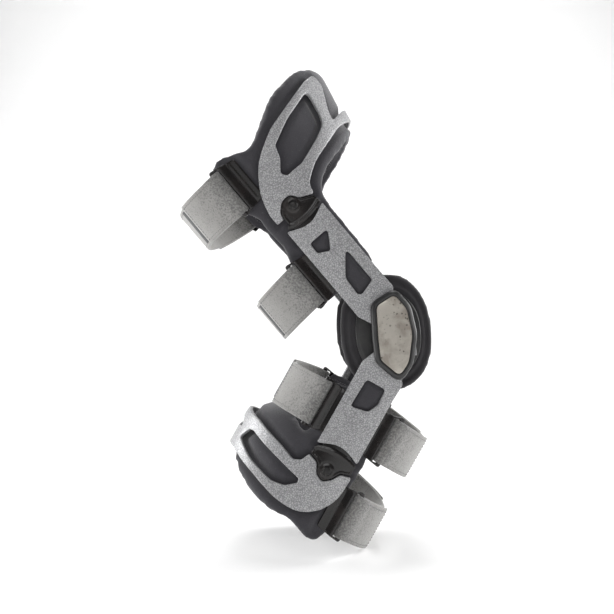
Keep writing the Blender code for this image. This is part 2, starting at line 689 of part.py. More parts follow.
def make_brackets():
    """Plastic tongues from under the frame, each with a slot and a bar for its strap."""
    for strap in STRAPS:
        outer = strap.bar + BAR_WIDTH / 2.0
        slot = strap.bar - BAR_WIDTH / 2.0 - SLOT_WIDTH
        low, high = strap.low - TONGUE_MARGIN, strap.high + TONGUE_MARGIN
        inner = slot - TONGUE_REACH
        step_low, step_high = slot - TONGUE_STEP[0], slot - TONGUE_STEP[1]
        step_middle = (step_low + step_high) / 2.0
        corners = [(inner, low + 5, 3), (step_low, low + 3, 0), (step_middle, low + 2, 0),
                   (step_high, low + 1, 0), (outer, low, 3), (outer, high, 3),
                   (step_high, high - 1, 0), (step_middle, high - 2, 0),
                   (step_low, high - 3, 0), (inner, high - 5, 3)]
        near, far = strap.low - RUN_GAP, strap.high + RUN_GAP
        opening = [(slot, near, 1), (slot + SLOT_WIDTH, near, 1), (slot + SLOT_WIDTH, far, 1),
                   (slot, far, 1)]
        flip = [(strap.sign * u, t, r) for u, t, r in corners]
        hole = [(strap.sign * u, t, r) for u, t, r in opening]
        for where, side in SIDES:
            obj = wrapped(strap.name + "_bracket_" + where, strap.segment, rounded(flip),
                          [rounded(hole)], TONGUE_TOP, TONGUE_WALL, "black_plastic", side,
                          bracket_lift(step_low, step_high),
                          [strap.sign * u for u in (step_low, step_middle, step_high)])
            if strap.segment is CALF:
                set_origin(obj, LOWER_PIVOT)


def strap_line(strap, t):
    """Centre line of a strap across the section at t: folded end, bar, round the leg, and back.

    Points are (forward, out) with out positive on the outer side and negative on the inner.
    """
    segment = strap.segment
    lift = TONGUE_TOP - TONGUE_WALL / 2.0 + BRACKET_LIFT
    gap = TONGUE_WALL / 2.0 + RUN_GAP + STRAP_WALL / 2.0
    slant = strap.slant
    bar = segment.angle(strap.sign * (strap.bar - BAR_WIDTH / 2.0 + TURN_INSET), t)
    middle = segment.angle(strap.sign * strap.bar, t)
    tail = segment.angle(strap.sign * (strap.bar + STRAP_TAIL), t)
    outside = [(tail + (middle - tail) * k / 5.0, lift + gap) for k in range(6)]
    turn = []
    base = segment.section(bar, t, lift)
    ahead = segment.section(bar + strap.sign * 0.02, t, lift)
    run = Vector((ahead[0] - base[0], ahead[1] - base[1])).normalized()
    out = Vector((segment.section(bar, t, lift + 1)[0] - base[0],
                  segment.section(bar, t, lift + 1)[1] - base[1]))
    for k in range(6):
        a = math.pi * k / 5.0
        turn.append(Vector(base) + out * (gap * math.cos(a)) - run * (gap * math.sin(a)))
    end = strap.sign * math.pi / 2.0
    inside_run = [(middle + (end - middle) * k / 8.0, lift - gap) for k in range(9)]
    line = [Vector(segment.section(a, t, o)) for a, o in outside]
    shifts = [slant * math.sin(abs(a)) ** 2 for a, _ in outside]
    line += turn
    start = slant * math.sin(abs(bar)) ** 2
    shifts += [start] * len(turn)
    line += [Vector(segment.section(a, t, o)) for a, o in inside_run]
    shifts += [slant * math.sin(abs(a)) ** 2 for a, _ in inside_run]
    return line, shifts


def make_straps():
    """Each strap is one closed band, both ends folded round their bars and back on themselves."""
    rows = 2
    for strap in STRAPS:
        bm = bmesh.new()
        grid = []
        for k in range(rows):
            t = strap.low + STRAP_WIDTH * k / (rows - 1)
            line, shifts = strap_line(strap, t)
            outer, inner = [], []
            for i, point in enumerate(line):
                before = line[max(0, i - 1)]
                after = line[min(len(line) - 1, i + 1)]
                if i == len(line) - 1:
                    after = Vector((point.x, -before.y))
                    before = Vector(before)
                flow = (after - before).normalized()
                normal = Vector((-flow.y, flow.x)) * (STRAP_WALL / 2.0)
                place = strap.segment.world
                start = shifts[i] - slant_at_bar(strap, t)
                outer.append(place(*(point + normal), t + start, -1))
                inner.append(place(*(point - normal), t + start, -1))
            for row in (outer, inner):
                row[-1].y = 0.0
            grid.append([bm.verts.new(p) for p in outer] + [bm.verts.new(p)
                                                            for p in reversed(inner)])
        count = len(grid[0])
        half = count // 2
        for low, high in zip(grid, grid[1:]):
            for i in range(count):
                n = (i + 1) % count
                if i == half - 1:
                    continue
                bm.faces.new([low[i], low[n], high[n], high[i]])
        for row in (grid[0], grid[-1]):
            for i in range(half - 1):
                bm.faces.new([row[i], row[i + 1], row[count - 2 - i], row[count - 1 - i]])
        bmesh.ops.mirror(bm, geom=bm.verts[:] + bm.edges[:] + bm.faces[:], axis="Y",
                         merge_dist=1e-3)
        bmesh.ops.remove_doubles(bm, verts=bm.verts, dist=1e-3)
        obj = add_object(strap.name + "_strap", bm, "strap")
        if strap.segment is CALF:
            set_origin(obj, LOWER_PIVOT)


def slant_at_bar(strap, t):
    bar = strap.segment.angle(strap.sign * strap.bar, t)
    return strap.slant * math.sin(abs(bar)) ** 2


# ---- the two hinges ----
FACE_PLATE = [(1, 36, 5), (-15.5, 27.5, 7), (-16.5, 0, 80), (-16, -20, 8), (-1, -35, 5),
              (8, -24, 20), (13.5, 0, 25), (10.5, 23, 15)]


def hinge_slab(name, outline, holes, outer, wall, finish, side, cell=40.0):
    """A flat plate in the hinge's own frame, from outer (distance from the middle plane) in."""
    verts, faces = sheet(outline, holes, cell)

    def at(distance):
        def put(p):
            x, z = on_hinge(p.x, p.y)
            return Vector((x, side * distance, z))
        return put

    bm = slab(verts, faces, at(outer), at(outer - wall))
    return add_object(name, bm, finish)


def shoulder_height(x, flexion, backwards):
    """Height over the hinge's middle of the thigh head's shoulder line at a knee angle."""
    sign = -1.0 if backwards else 1.0
    lean = math.radians(flexion / 2.0)
    ends = []
    for v, t in ((sign * NECK_HALF_WIDTH, NECK_START), (sign * UPRIGHT_HALF_WIDTH, NECK_END)):
        ends.append((v * math.cos(lean) - t * math.sin(lean),
                     v * math.sin(lean) + t * math.cos(lean) + PITCH_RADIUS))
    (x0, z0), (x1, z1) = ends
    return z0 + (z1 - z0) * (x - x0) / (x1 - x0)


def make_stops(where, side):
    """Keys between the plates that the heads' shoulders meet at the two ends of the range."""
    outer = KNEE_HALF_WIDTH - FIT_GAP
    wall = FRAME_WALL - 2 * FIT_GAP
    x0, x1 = (HEAD_RADIUS + reach for reach in EXTENSION_KEY)
    z0 = shoulder_height(x0, EXTENSION_STOP, False) - 2 * FIT_GAP
    front = [(x0, -z0, 0), (x1, -z0, 0), (x1, z0, 0), (x0, z0, 0)]
    hinge_slab("extension_stop_" + where, rounded(front), [], outer, wall, "steel", side)
    x0, x1 = (-HEAD_RADIUS - reach for reach in FLEXION_KEY)
    z0 = shoulder_height(x0, FLEXION_STOP, True) - 2 * FIT_GAP
    z1 = shoulder_height(x1, FLEXION_STOP, True) - 2 * FIT_GAP
    rear = [(x0, -z0, 0), (x0, z0, 0), (x1, z1, 0), (x1, -z1, 0)]
    hinge_slab("flexion_stop_" + where, rounded(rear), [], outer, wall, "steel", side)


def make_hinges():
    k = KNEE_HALF_WIDTH
    pivots = ((0.0, PITCH_RADIUS), (0.0, -PITCH_RADIUS))
    outer_face = k + FIT_GAP + HINGE_PLATE_WALL
    inner_face = k - FRAME_WALL - FIT_GAP - HINGE_PLATE_WALL
    cap_floor = outer_face + FIT_GAP + RIVET_HEAD_WALL + FIT_GAP
    seat_floor = cap_floor + CAP_FLOOR_WALL
    cap_top = seat_floor + FIT_GAP + FACE_PLATE_WALL
    cup_top = inner_face - FIT_GAP - RIVET_HEAD_WALL - FIT_GAP
    for where, side in SIDES:
        holes = [circle(RIVET_RADIUS + FIT_GAP, p) for p in pivots]
        base = rounded(grown(FACE_PLATE, CAP_MARGIN - CAP_WALL))
        for label, top in (("outer", outer_face), ("inner", inner_face + HINGE_PLATE_WALL)):
            hinge_slab("hinge_%s_plate_%s" % (label, where), base, holes, top,
                       HINGE_PLATE_WALL, "steel", side)
        cap = hinge_slab("hinge_cap_" + where, rounded(grown(FACE_PLATE, CAP_MARGIN)), [],
                         cap_top, cap_top - k - FIT_GAP, "hinge_plastic", side)
        pocket = hinge_slab("cap_pocket_guide_" + where,
                            rounded(grown(FACE_PLATE, CAP_MARGIN - CAP_WALL + FIT_GAP)), [],
                            cap_floor, cap_floor - k + CUT_MARGIN, "hinge_plastic", side)
        seat = hinge_slab("cap_seat_guide_" + where, rounded(grown(FACE_PLATE, FIT_GAP)), [],
                          cap_top + CUT_MARGIN, cap_top + CUT_MARGIN - seat_floor,
                          "hinge_plastic", side)
        boolean(cap, pocket, "DIFFERENCE")
        boolean(cap, seat, "DIFFERENCE")
        hinge_slab("hinge_face_plate_" + where, rounded(FACE_PLATE), [], cap_top,
                   FACE_PLATE_WALL, "nickel", side)
        for label, spot in zip(("upper", "lower"), pivots):
            x, z = on_hinge(*spot)
            low, high = inner_face - FIT_GAP, outer_face + FIT_GAP
            r, head = RIVET_RADIUS, RIVET_HEAD_RADIUS
            profile = [(0, low - RIVET_HEAD_WALL), (head, low - RIVET_HEAD_WALL), (head, low),
                       (r, low), (r, high), (head, high), (head, high + RIVET_HEAD_WALL),
                       (0, high + RIVET_HEAD_WALL)]
            pin = turned(Vector((x, 0.0, z)), Vector((0, side, 0)), profile)
            add_object("hinge_%s_rivet_%s" % (label, where), pin, "steel")
        make_stops(where, side)
        hinge_slab("condyle_cup_" + where, oval(CUP_HALF_WIDTH, CUP_HALF_LENGTH, CUP_CENTRE),
                   [], cup_top, CUP_WALL, "hinge_plastic", side)
        make_condyle_pad(where, side, cup_top - CUP_WALL - FIT_GAP)


def make_condyle_pad(where, side, top):
    """The soft oval pad between the hinge and the knee, with a rounded edge."""
    bm = bmesh.new()
    rings = []
    for share, depth in PAD_EDGE:
        ring = oval(PAD_HALF_WIDTH * share, PAD_HALF_LENGTH * share, PAD_CENTRE)
        spots = [on_hinge(p.x, p.y) for p in ring]
        rings.append([bm.verts.new((x, side * (top - PAD_WALL * depth), z)) for x, z in spots])
    for near, far in zip(rings, rings[1:]):
        for i in range(len(near)):
            n = (i + 1) % len(near)
            bm.faces.new([near[i], near[n], far[n], far[i]])
    bm.faces.new(rings[0])
    bm.faces.new(rings[-1])
    add_object("condyle_pad_" + where, bm, "condyle_pad")


def hang_on_hinges():
    """Pieces of each hinge turn about the upper pivot, so they hang on an empty there."""
    for where, _ in SIDES:
        hub = bpy.data.objects.new("hinge_axis_" + where, None)
        hub.location = (UPPER_PIVOT[0] * MM, 0.0, UPPER_PIVOT[1] * MM)
        bpy.context.scene.collection.objects.link(hub)
        for obj in list(bpy.context.scene.objects):
            on_it = obj.name.startswith(("hinge_", "cap_", "condyle_", "extension_", "flexion_"))
            if obj.type == "MESH" and on_it and obj.name.endswith(where):
                obj.parent = hub
                obj.location = -hub.location


def main():
    for obj in list(bpy.data.objects):
        bpy.data.objects.remove(obj, do_unlink=True)
    make_cuffs()
    make_uprights()
    make_links()
    make_hook_strips()
    make_liners()
    make_brackets()
    make_straps()
    make_hinges()
    hang_on_hinges()


main()
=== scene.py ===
"""Looks of a rigid-frame knee brace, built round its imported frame.

Shapes are worked out in millimetres. Each section of the brace has a flat pattern: u is the arc
length round the leg from the middle of its side, t the distance from the hinge pivot along the
leg, and offset the height over the frame's outer face. Segment.place lays a pattern on the leg.
"""

import math

import bmesh
import bpy
import numpy as np
from bpy.props import FloatProperty, FloatVectorProperty, PointerProperty
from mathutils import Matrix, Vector
from mathutils.bvhtree import BVHTree
from mathutils.geometry import delaunay_2d_cdt
from mathutils.kdtree import KDTree


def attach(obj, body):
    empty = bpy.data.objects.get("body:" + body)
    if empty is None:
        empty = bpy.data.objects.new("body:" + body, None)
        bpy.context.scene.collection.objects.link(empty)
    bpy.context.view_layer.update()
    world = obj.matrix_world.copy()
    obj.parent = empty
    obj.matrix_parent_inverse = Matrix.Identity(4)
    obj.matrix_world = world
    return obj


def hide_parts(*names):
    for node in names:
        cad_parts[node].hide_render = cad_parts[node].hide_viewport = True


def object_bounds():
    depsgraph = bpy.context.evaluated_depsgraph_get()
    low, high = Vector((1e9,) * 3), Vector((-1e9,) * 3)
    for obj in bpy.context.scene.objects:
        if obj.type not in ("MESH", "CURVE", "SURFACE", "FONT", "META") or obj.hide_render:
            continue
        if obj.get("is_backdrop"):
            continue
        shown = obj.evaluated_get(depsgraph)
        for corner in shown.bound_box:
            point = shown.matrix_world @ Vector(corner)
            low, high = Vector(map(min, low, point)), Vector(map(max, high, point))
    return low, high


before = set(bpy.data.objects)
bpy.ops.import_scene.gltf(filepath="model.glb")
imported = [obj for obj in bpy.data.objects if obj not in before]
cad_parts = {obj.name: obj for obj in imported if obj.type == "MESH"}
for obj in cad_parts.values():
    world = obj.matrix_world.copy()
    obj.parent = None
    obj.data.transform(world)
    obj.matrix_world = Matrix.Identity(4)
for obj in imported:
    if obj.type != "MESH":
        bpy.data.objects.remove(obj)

bl_info = {
    "name": "Knee brace",
    "version": (1, 0, 0),
    "blender": (4, 5, 0),
    "location": "View3D > Sidebar > Brace",
    "description": "Frame, hinges, liners, pads and straps of a rigid-frame knee brace",
    "category": "Add Mesh",
}

MM = 0.001
SIDES = (("lateral", -1), ("medial", 1))
PIVOT_HOLE, RIVET_HOLE = 3.9, 2.5       # radii of the holes for the hinge and link rivets
TOOTH_EDGE = 0.25                       # rounding of the uprights, small because of the teeth
PROUD = 0.75                            # height of the links' faces over the frame's
CLOTH_FRAMES = 20                       # length of the inflation of a pad


# ---- what a user may change ----
def length(name, millimetres, description):
    return FloatProperty(name=name, description=description, default=millimetres * MM,
                         min=0.0, unit="LENGTH", precision=4)


def colour(name, value, description):
    return FloatVectorProperty(name=name, description=description, default=value, size=3,
                               min=0.0, max=1.0, subtype="COLOR")


class BraceSizes(bpy.types.PropertyGroup):
    """Sizes that the pieces are worked out from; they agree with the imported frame."""

    knee_half_width: length("Knee half width", 72.0, "Middle plane to the uprights' face")
    hinge_tilt: FloatProperty(name="Hinge tilt", description="Lean of the hinge's long axis",
                              default=math.radians(5.5), subtype="ANGLE")
    rest_flexion: FloatProperty(name="Rest flexion", description="Knee angle as stored",
                                default=math.radians(70.0), subtype="ANGLE")
    pivot_spacing: length("Pivot spacing", 20.0, "Between a hinge's two pivots")
    frame_wall: length("Frame wall", 3.0, "Sheet of the cuffs and uprights")
    frame_edge: length("Frame edge", 0.8, "Rounding along the frame's edges")
    tongue_wall: length("Tongue wall", 2.2, "Plastic under the frame")
    liner_wall: length("Liner wall", 8.0, "Thickness of the liners")
    liner_growth: length("Liner growth", 3.6, "How far the soft liners pass their flat pattern")
    upright_half_width: length("Upright half width", 20.5, "Half the width of the uprights")
    thigh_upright: length("Thigh upright", 123.0, "Pivot to the upper end's corners")
    calf_upright: length("Calf upright", 108.0, "Pivot to the lower end's corners")
    near_strap: length("Near strap", 56.0, "Pivot to the straps next to the hinge")
    strap_width: length("Strap width", 42.0, "Width of the straps")
    strap_wall: length("Strap wall", 3.0, "Thickness of the straps")
    strap_tail: length("Strap tail", 52.0, "Length of a strap's end folded back")
    pad_half_length: length("Pad half length", 55.0, "Half the condyle pads' length")
    pad_half_width: length("Pad half width", 43.0, "Half the condyle pads' width")
    pad_wall: length("Pad wall", 12.0, "Thickness of the condyle pads")
    stitch_pitch: length("Stitch pitch", 2.9, "Distance from stitch to stitch")
    stitch_length: length("Stitch length", 2.1, "Length of one stitch")
    thread_radius: length("Thread radius", 0.28, "Half the thickness of the thread")


class BraceColours(bpy.types.PropertyGroup):
    """Base colours of the finishes."""

    frame_coat: colour("Frame coat", (0.47, 0.47, 0.48), "Silver-grey powder coat")
    frame_vein: colour("Frame vein", (0.10, 0.10, 0.104), "Dark veins of the coat")
    black_plastic: colour("Black plastic", (0.0060, 0.0048, 0.0046), "Links and tongues")
    hinge_plastic: colour("Hinge plastic", (0.015, 0.015, 0.0155), "Hinge caps and cups")
    liner: colour("Liner", (0.046, 0.044, 0.051), "Knit of the liners")
    condyle: colour("Condyle pad", (0.030, 0.0285, 0.031), "Suede of the condyle pads")
    strap: colour("Strap", (0.31, 0.303, 0.29), "Brushed loop of the straps")
    strap_dark: colour("Strap pile", (0.10, 0.10, 0.10), "Dark pile in the straps' mottle")
    hook_tab: colour("Hook tab", (0.06, 0.06, 0.062), "Hook ends of the straps")
    nickel: colour("Nickel", (0.50, 0.47, 0.42), "Face plates")
    steel: colour("Steel", (0.42, 0.42, 0.43), "Hinge plates, stops and rivets")
    black_steel: colour("Black steel", (0.022, 0.021, 0.021), "Link rivets")
    thread: colour("Thread", (0.16, 0.155, 0.16), "Stitches")
    floor: colour("Floor", (0.93, 0.93, 0.93), "Floor and backdrop")


class BraceStage(bpy.types.PropertyGroup):
    """Camera and lights."""

    lens: FloatProperty(name="Lens", description="Focal length in millimetres", default=53.3)
    distance: FloatProperty(name="Distance", description="Camera to the knee's middle plane",
                            default=0.872, unit="LENGTH")
    aim: FloatVectorProperty(name="Aim", description="Point in the middle plane it looks at",
                             default=(-0.0786, 0.0, 0.0252), size=3, subtype="XYZ")
    key: FloatProperty(name="Key", description="Power of the front light", default=8.5)
    rim: FloatProperty(name="Rim", description="Power of the lights beside it", default=20.0)
    top: FloatProperty(name="Top", description="Power of the light above", default=11.0)
    sky: FloatProperty(name="Sky", description="Strength of the white surround", default=0.20)


class Sizes:
    """The sizes in millimetres and degrees, and the values that follow from them."""

    def __init__(self, scene):
        group = scene.brace_sizes
        for key, prop in group.bl_rna.properties.items():
            if prop.unit == "LENGTH":
                setattr(self, key, getattr(group, key) / MM)
            elif prop.subtype == "ANGLE":
                setattr(self, key, getattr(group, key))
        self.fit_gap, self.run_gap = 0.3, 0.8
        self.bar_width, self.slot_width = 4.5, 4.8
        self.tongue_top = -self.frame_wall - self.fit_gap
        self.liner_top = self.tongue_top - self.tongue_wall - 2 * self.fit_gap
        self.lift = self.strap_wall + self.run_gap + self.tongue_wall - self.fit_gap
        self.thigh, self.calf = make_segments(self)


def ramp(value, low, high):
    """Smooth 0 to 1 step between low and high."""
    x = np.clip((np.asarray(value, float) - low) / (high - low), 0.0, 1.0)
    return x * x * (3.0 - 2.0 * x)


def ridge(value, middle, width):
    """Bell of height 1 round middle."""
    return np.exp(-((value - middle) / width) ** 2)


# ---- flat outlines ----
def rounded(corners, step=12.0):
    """Points round an outline of (u, t, corner radius); a radius is limited by its sides."""
    points = []
    count = len(corners)
    for i, (u, t, radius) in enumerate(corners):
        here = Vector((u, t))
        back = Vector(corners[i - 1][:2]) - here
        ahead = Vector(corners[(i + 1) % count][:2]) - here
        turn = math.pi - back.angle(ahead)
        if radius <= 0.0 or turn < math.radians(2.0):
            points.append(here)
            continue
        reach = min(radius * math.tan(turn / 2.0), 0.48 * back.length, 0.48 * ahead.length)
        start = here + back.normalized() * reach
        end = here + ahead.normalized() * reach
        pieces = max(2, round(math.degrees(turn) / step))
        for k in range(pieces + 1):
            x = k / pieces
            points.append(start * (1 - x) ** 2 + here * (2 * x * (1 - x)) + end * x * x)
    return np.array(points)


def grown(corners, margin):
    """The outline with every side moved out by margin, for corners given anticlockwise."""
    count = len(corners)
    result = []
    for i, (u, t, radius) in enumerate(corners):
        here = Vector((u, t))
        before = (here - Vector(corners[i - 1][:2])).normalized()
        after = (Vector(corners[(i + 1) % count][:2]) - here).normalized()
        normal = Vector((before.y, -before.x)) + Vector((after.y, -after.x))
        spot = here + normal * (margin * 2.0 / normal.length_squared)
        result.append((spot.x, spot.y, max(0.5, radius + margin)))
    return result


OVAL_POWER = 2.3        # 2 is an ellipse, more is squarer


def oval(half_width, half_length, centre=(0.0, 0.0), count=96, power=OVAL_POWER):
    """A slightly squared oval."""
    angle = np.arange(count) * 2.0 * math.pi / count
    c, s = np.cos(angle), np.sin(angle)
    across = half_width * np.copysign(np.abs(c) ** (2.0 / power), c)
    along = half_length * np.copysign(np.abs(s) ** (2.0 / power), s)
    return np.stack([centre[0] + across, centre[1] + along], 1)


def circle(radius, centre=(0.0, 0.0), count=32):
    return oval(radius, radius, centre, count, 2.0)


def oblong(u_from, u_to, low, high):
    return np.array([(u_from, low), (u_to, low), (u_to, high), (u_from, high)], float)


def inside(points, loop):
    """Even-odd test of many points against a closed loop."""
    hit = np.zeros(len(points), bool)
    x, y = points[:, 0], points[:, 1]
    for (ax, ay), (bx, by) in zip(loop, np.roll(loop, -1, 0)):
        if ay == by:
            continue
        crosses = ((ay > y) != (by > y)) & (x < (bx - ax) * (y - ay) / (by - ay) + ax)
        hit ^= crosses
    return hit


def distance(points, *loops):
    """Shortest distance of many points to the sides of closed loops."""
    best = np.full(len(points), 1e9)
    for loop in loops:
        for a, b in zip(loop, np.roll(loop, -1, 0)):
            side = b - a
            share = np.clip((points - a) @ side / max(side @ side, 1e-12), 0.0, 1.0)
            best = np.minimum(best, np.linalg.norm(points - a - share[:, None] * side, axis=1))
    return best


def oriented(loop, cell, anticlockwise):
    """The loop with its long sides divided to about one cell, turned the way that is asked."""
    points = []
    for a, b in zip(loop, np.roll(loop, -1, 0)):
        pieces = max(1, math.ceil(np.linalg.norm(b - a) / cell - 0.25))
        points += [a + (b - a) * k / pieces for k in range(pieces)]
    loop = np.array(points)
    loop = loop[np.linalg.norm(loop - np.roll(loop, 1, 0), axis=1) > 0.02]
    x, y = loop[:, 0], loop[:, 1]
    area = np.sum(x * np.roll(y, -1) - np.roll(x, -1) * y)
    return loop if (area > 0) == anticlockwise else loop[::-1]


def inward(loop):
    """Directions into the material, which lies on the left of each side."""
    side = np.roll(loop, -1, 0) - loop
    side = side / np.linalg.norm(side, axis=1)[:, None]
    left = np.stack([-side[:, 1], side[:, 0]], 1)
    both = left + np.roll(left, 1, 0)
    return both * (2.0 / np.maximum((both ** 2).sum(1), 1.0))[:, None]


def triangulated(loops, cell):
    """Points and triangles that fill the first loop but for the others; loop points come first."""
    rim = np.concatenate(loops)
    edges, first = [], 0
    for loop in loops:
        edges += [(first + k, first + (k + 1) % len(loop)) for k in range(len(loop))]
        first += len(loop)
    low, high = rim.min(0), rim.max(0)
    rows = np.arange(low[1] + cell / 2.0, high[1], cell * 0.87)
    grid = [(u, t) for n, t in enumerate(rows)
            for u in np.arange(low[0] + cell * (0.5 if n % 2 else 1.0), high[0], cell)]
    grid = np.array(grid).reshape(-1, 2)
    kept = inside(grid, loops[0])
    for hole in loops[1:]:
        kept &= ~inside(grid, hole)
    grid = grid[kept]
    grid = grid[distance(grid, *loops) > 0.55 * cell]
    points = [Vector(p) for p in np.concatenate([rim, grid])]
    verts, _, faces, origin, _, _ = delaunay_2d_cdt(points, edges, [], 0, 1e-6)
    made = {source: i for i, sources in enumerate(origin) for source in sources}
    verts, faces = np.array([tuple(v) for v in verts]), np.array([list(f) for f in faces])
    middle = verts[faces].mean(1)
    kept = inside(middle, loops[0])
    for hole in loops[1:]:
        kept &= ~inside(middle, hole)
    return verts, faces[kept], [made[i] for i in range(len(rim))]


def plate(outline, holes, cell, place, top, bottom, edge, steps=3):
    """A closed plate with rounded rims: (points, faces) in millimetres.

    place(points, offset) puts flat points in space; top and bottom give offsets for points.
    """
    loops = [oriented(outline, cell, True)] + [oriented(h, cell, False) for h in holes]
    ways = [inward(loop) for loop in loops]
    flat, faces, rim = triangulated([a + n * edge for a, n in zip(loops, ways)], cell)
    count = len(flat)
    verts = [place(flat, top(flat)), place(flat, bottom(flat))]
    rings = [np.array(rim)]
    base = 2 * count
    turns = [math.pi / 2.0 * k / steps for k in range(1, steps + 1)]
    for surface, sign, angles in ((top, -1.0, turns), (bottom, 1.0, turns[::-1])):
        for angle in angles:
            ring = np.concatenate([a + n * (edge * (1.0 - math.sin(angle)))
                                   for a, n in zip(loops, ways)])
            drop = edge * (1.0 - math.cos(angle))
            verts.append(place(ring, surface(ring) + sign * drop))
            rings.append(np.arange(base, base + len(ring)))
            base += len(ring)
    rings.append(np.array(rim) + count)
    shell = [tuple(f) for f in faces] + [tuple(f[::-1] + count) for f in faces]
    for upper, lower in zip(rings, rings[1:]):
        first = 0
        for loop in loops:
            for k in range(len(loop)):
                a, b = first + k, first + (k + 1) % len(loop)
                shell.append((upper[a], lower[a], lower[b], upper[b]))
            first += len(loop)
    return np.concatenate(verts), shell


def level(height):
    return lambda points: np.full(len(points), float(height))


def joined(parts):
    """Several (points, faces) as one."""
    verts, faces, base = [], [], 0
    for points, shell in parts:
        verts.append(np.asarray(points, float))
        faces += [tuple(int(i) + base for i in face) for face in shell]
        base += len(points)
    return np.concatenate(verts), faces


def lofted(rings):
    """Rings of equal count joined in order, and closed at both ends: (points, faces)."""
    count = len(rings[0])
    faces = []
    for n in range(len(rings) - 1):
        for k in range(count):
            a, b = n * count + k, n * count + (k + 1) % count
            faces.append((a, b, b + count, a + count))
    last = (len(rings) - 1) * count
    faces += [tuple(range(count)), tuple(range(last, last + count))]
    return np.concatenate(rings), faces


# ---- the leg's surface ----
FLAT_END, CURVE_START = 25.0, 48.0


class Segment:
    """One section of the brace and the leg surface that its pieces lie on.

    wrap is +1 where the cuff goes round the front and -1 where it goes round the back, and u is
    positive that way.
    """

    def __init__(self, half_width, pivot, along, front, wrap, flare, near_depth, far_depth):
        self.knee_half_width, self.pivot, self.along, self.front = half_width, pivot, along, front
        self.wrap, self.flare = wrap, flare
        self.near_depth, self.far_depth = near_depth, far_depth

    def half_width(self, t):
        past = np.maximum(0.0, np.asarray(t, float) - FLAT_END)
        return self.knee_half_width + self.flare * past * past / (past + 12.0)

    def depth(self, u, t):
        return np.where(np.asarray(u) >= 0, self.near_depth(t), self.far_depth(t))

    def angle(self, u, t):
        """Turn round the section, in radians from the side line, for an arc length u."""
        step, steps = 0.01, 170     # together a little over a quarter turn
        a, b = self.depth(u, t), self.half_width(t)
        left = np.abs(u) * np.ones_like(b)
        angle = np.zeros_like(left)
        for _ in range(steps):
            middle = angle + step / 2.0
            arc = np.hypot(a * np.cos(middle), b * np.sin(middle)) * step
            share = np.clip(left / arc, 0.0, 1.0)
            angle = angle + step * share
            left = left - arc * share
        return np.copysign(angle, u)

    def quarter(self, t):
        """Arc length from the side line to the middle of the cuff."""
        a, b = self.near_depth(t), self.half_width(t)
        steps = 60
        step = math.pi / (2.0 * steps)
        return sum(np.hypot(a * math.cos((k + 0.5) * step), b * math.sin((k + 0.5) * step))
                   for k in range(steps)) * step

    def section(self, angle, t, offset):
        """(distance round from the side line's plane, distance out) over the bare ellipse."""
        a = np.where(np.asarray(angle) >= 0, self.near_depth(t), self.far_depth(t))
        b = self.half_width(t)
        size = np.hypot(b * np.sin(angle), a * np.cos(angle))
        forward = a * np.sin(angle) + offset * b * np.sin(angle) / size
        return forward, b * np.cos(angle) + offset * a * np.cos(angle) / size

    def world(self, forward, out, t, side):
        v = forward * self.wrap
        return np.stack([self.pivot[0] + self.along[0] * t + self.front[0] * v,
                         side * out * np.ones_like(v),
                         self.pivot[1] + self.along[1] * t + self.front[1] * v], -1)

    def place(self, points, offset, side=-1):
        u, t = points[:, 0], points[:, 1]
        forward, out = self.section(self.angle(u, t), t, offset)
        curved = np.maximum(ramp(t, FLAT_END, CURVE_START), ramp(np.abs(u), 24.0, 40.0))
        forward = curved * forward + (1.0 - curved) * u
        out = curved * out + (1.0 - curved) * (self.half_width(t) + offset)
        return self.world(forward, out, t, side)

    def on(self, side):
        """place for one side of the leg: -1 outer, 1 inner."""
        return lambda points, offset: self.place(points, offset, side)

    def place_whole(self, points, offset):
        """The same for a pattern measured from the cuff's middle line, negative on the outer side."""
        m, t = points[:, 0], points[:, 1]
        flat = np.stack([self.quarter(t) - np.abs(m), t], 1)
        return self.place(flat, offset, np.where(m <= 0, -1.0, 1.0))

    def read(self, spots):
        """(u, t), offset and the outward direction for points in space, the inverse of place."""
        rel = spots[:, [0, 2]] - np.array(self.pivot)
        t = rel @ np.array(self.along)
        forward = rel @ np.array(self.front) * self.wrap
        out = np.abs(spots[:, 1])
        a, b = self.depth(forward, t), self.half_width(t)
        angle = np.arctan2(forward / a, np.maximum(out, 1e-6) / b)
        for _ in range(4):
            n = np.stack([b * np.sin(angle), a * np.cos(angle)], 1)
            n /= np.linalg.norm(n, axis=1)[:, None]
            offset = (forward - a * np.sin(angle)) * n[:, 0] + (out - b * np.cos(angle)) * n[:, 1]
            angle = np.arctan2((forward - offset * n[:, 0]) / a, (out - offset * n[:, 1]) / b)
        steps = 24
        part = angle / steps
        arc = sum(np.hypot(a * np.cos(part * (k + 0.5)), b * np.sin(part * (k + 0.5)))
                  for k in range(steps)) * np.abs(part)
        way = self.world(n[:, 0], n[:, 1], 0.0, np.where(spots[:, 1] > 0, 1.0, -1.0))
        way -= np.array([self.pivot[0], 0.0, self.pivot[1]])
        return np.stack([np.copysign(arc, angle), t], 1), offset, way


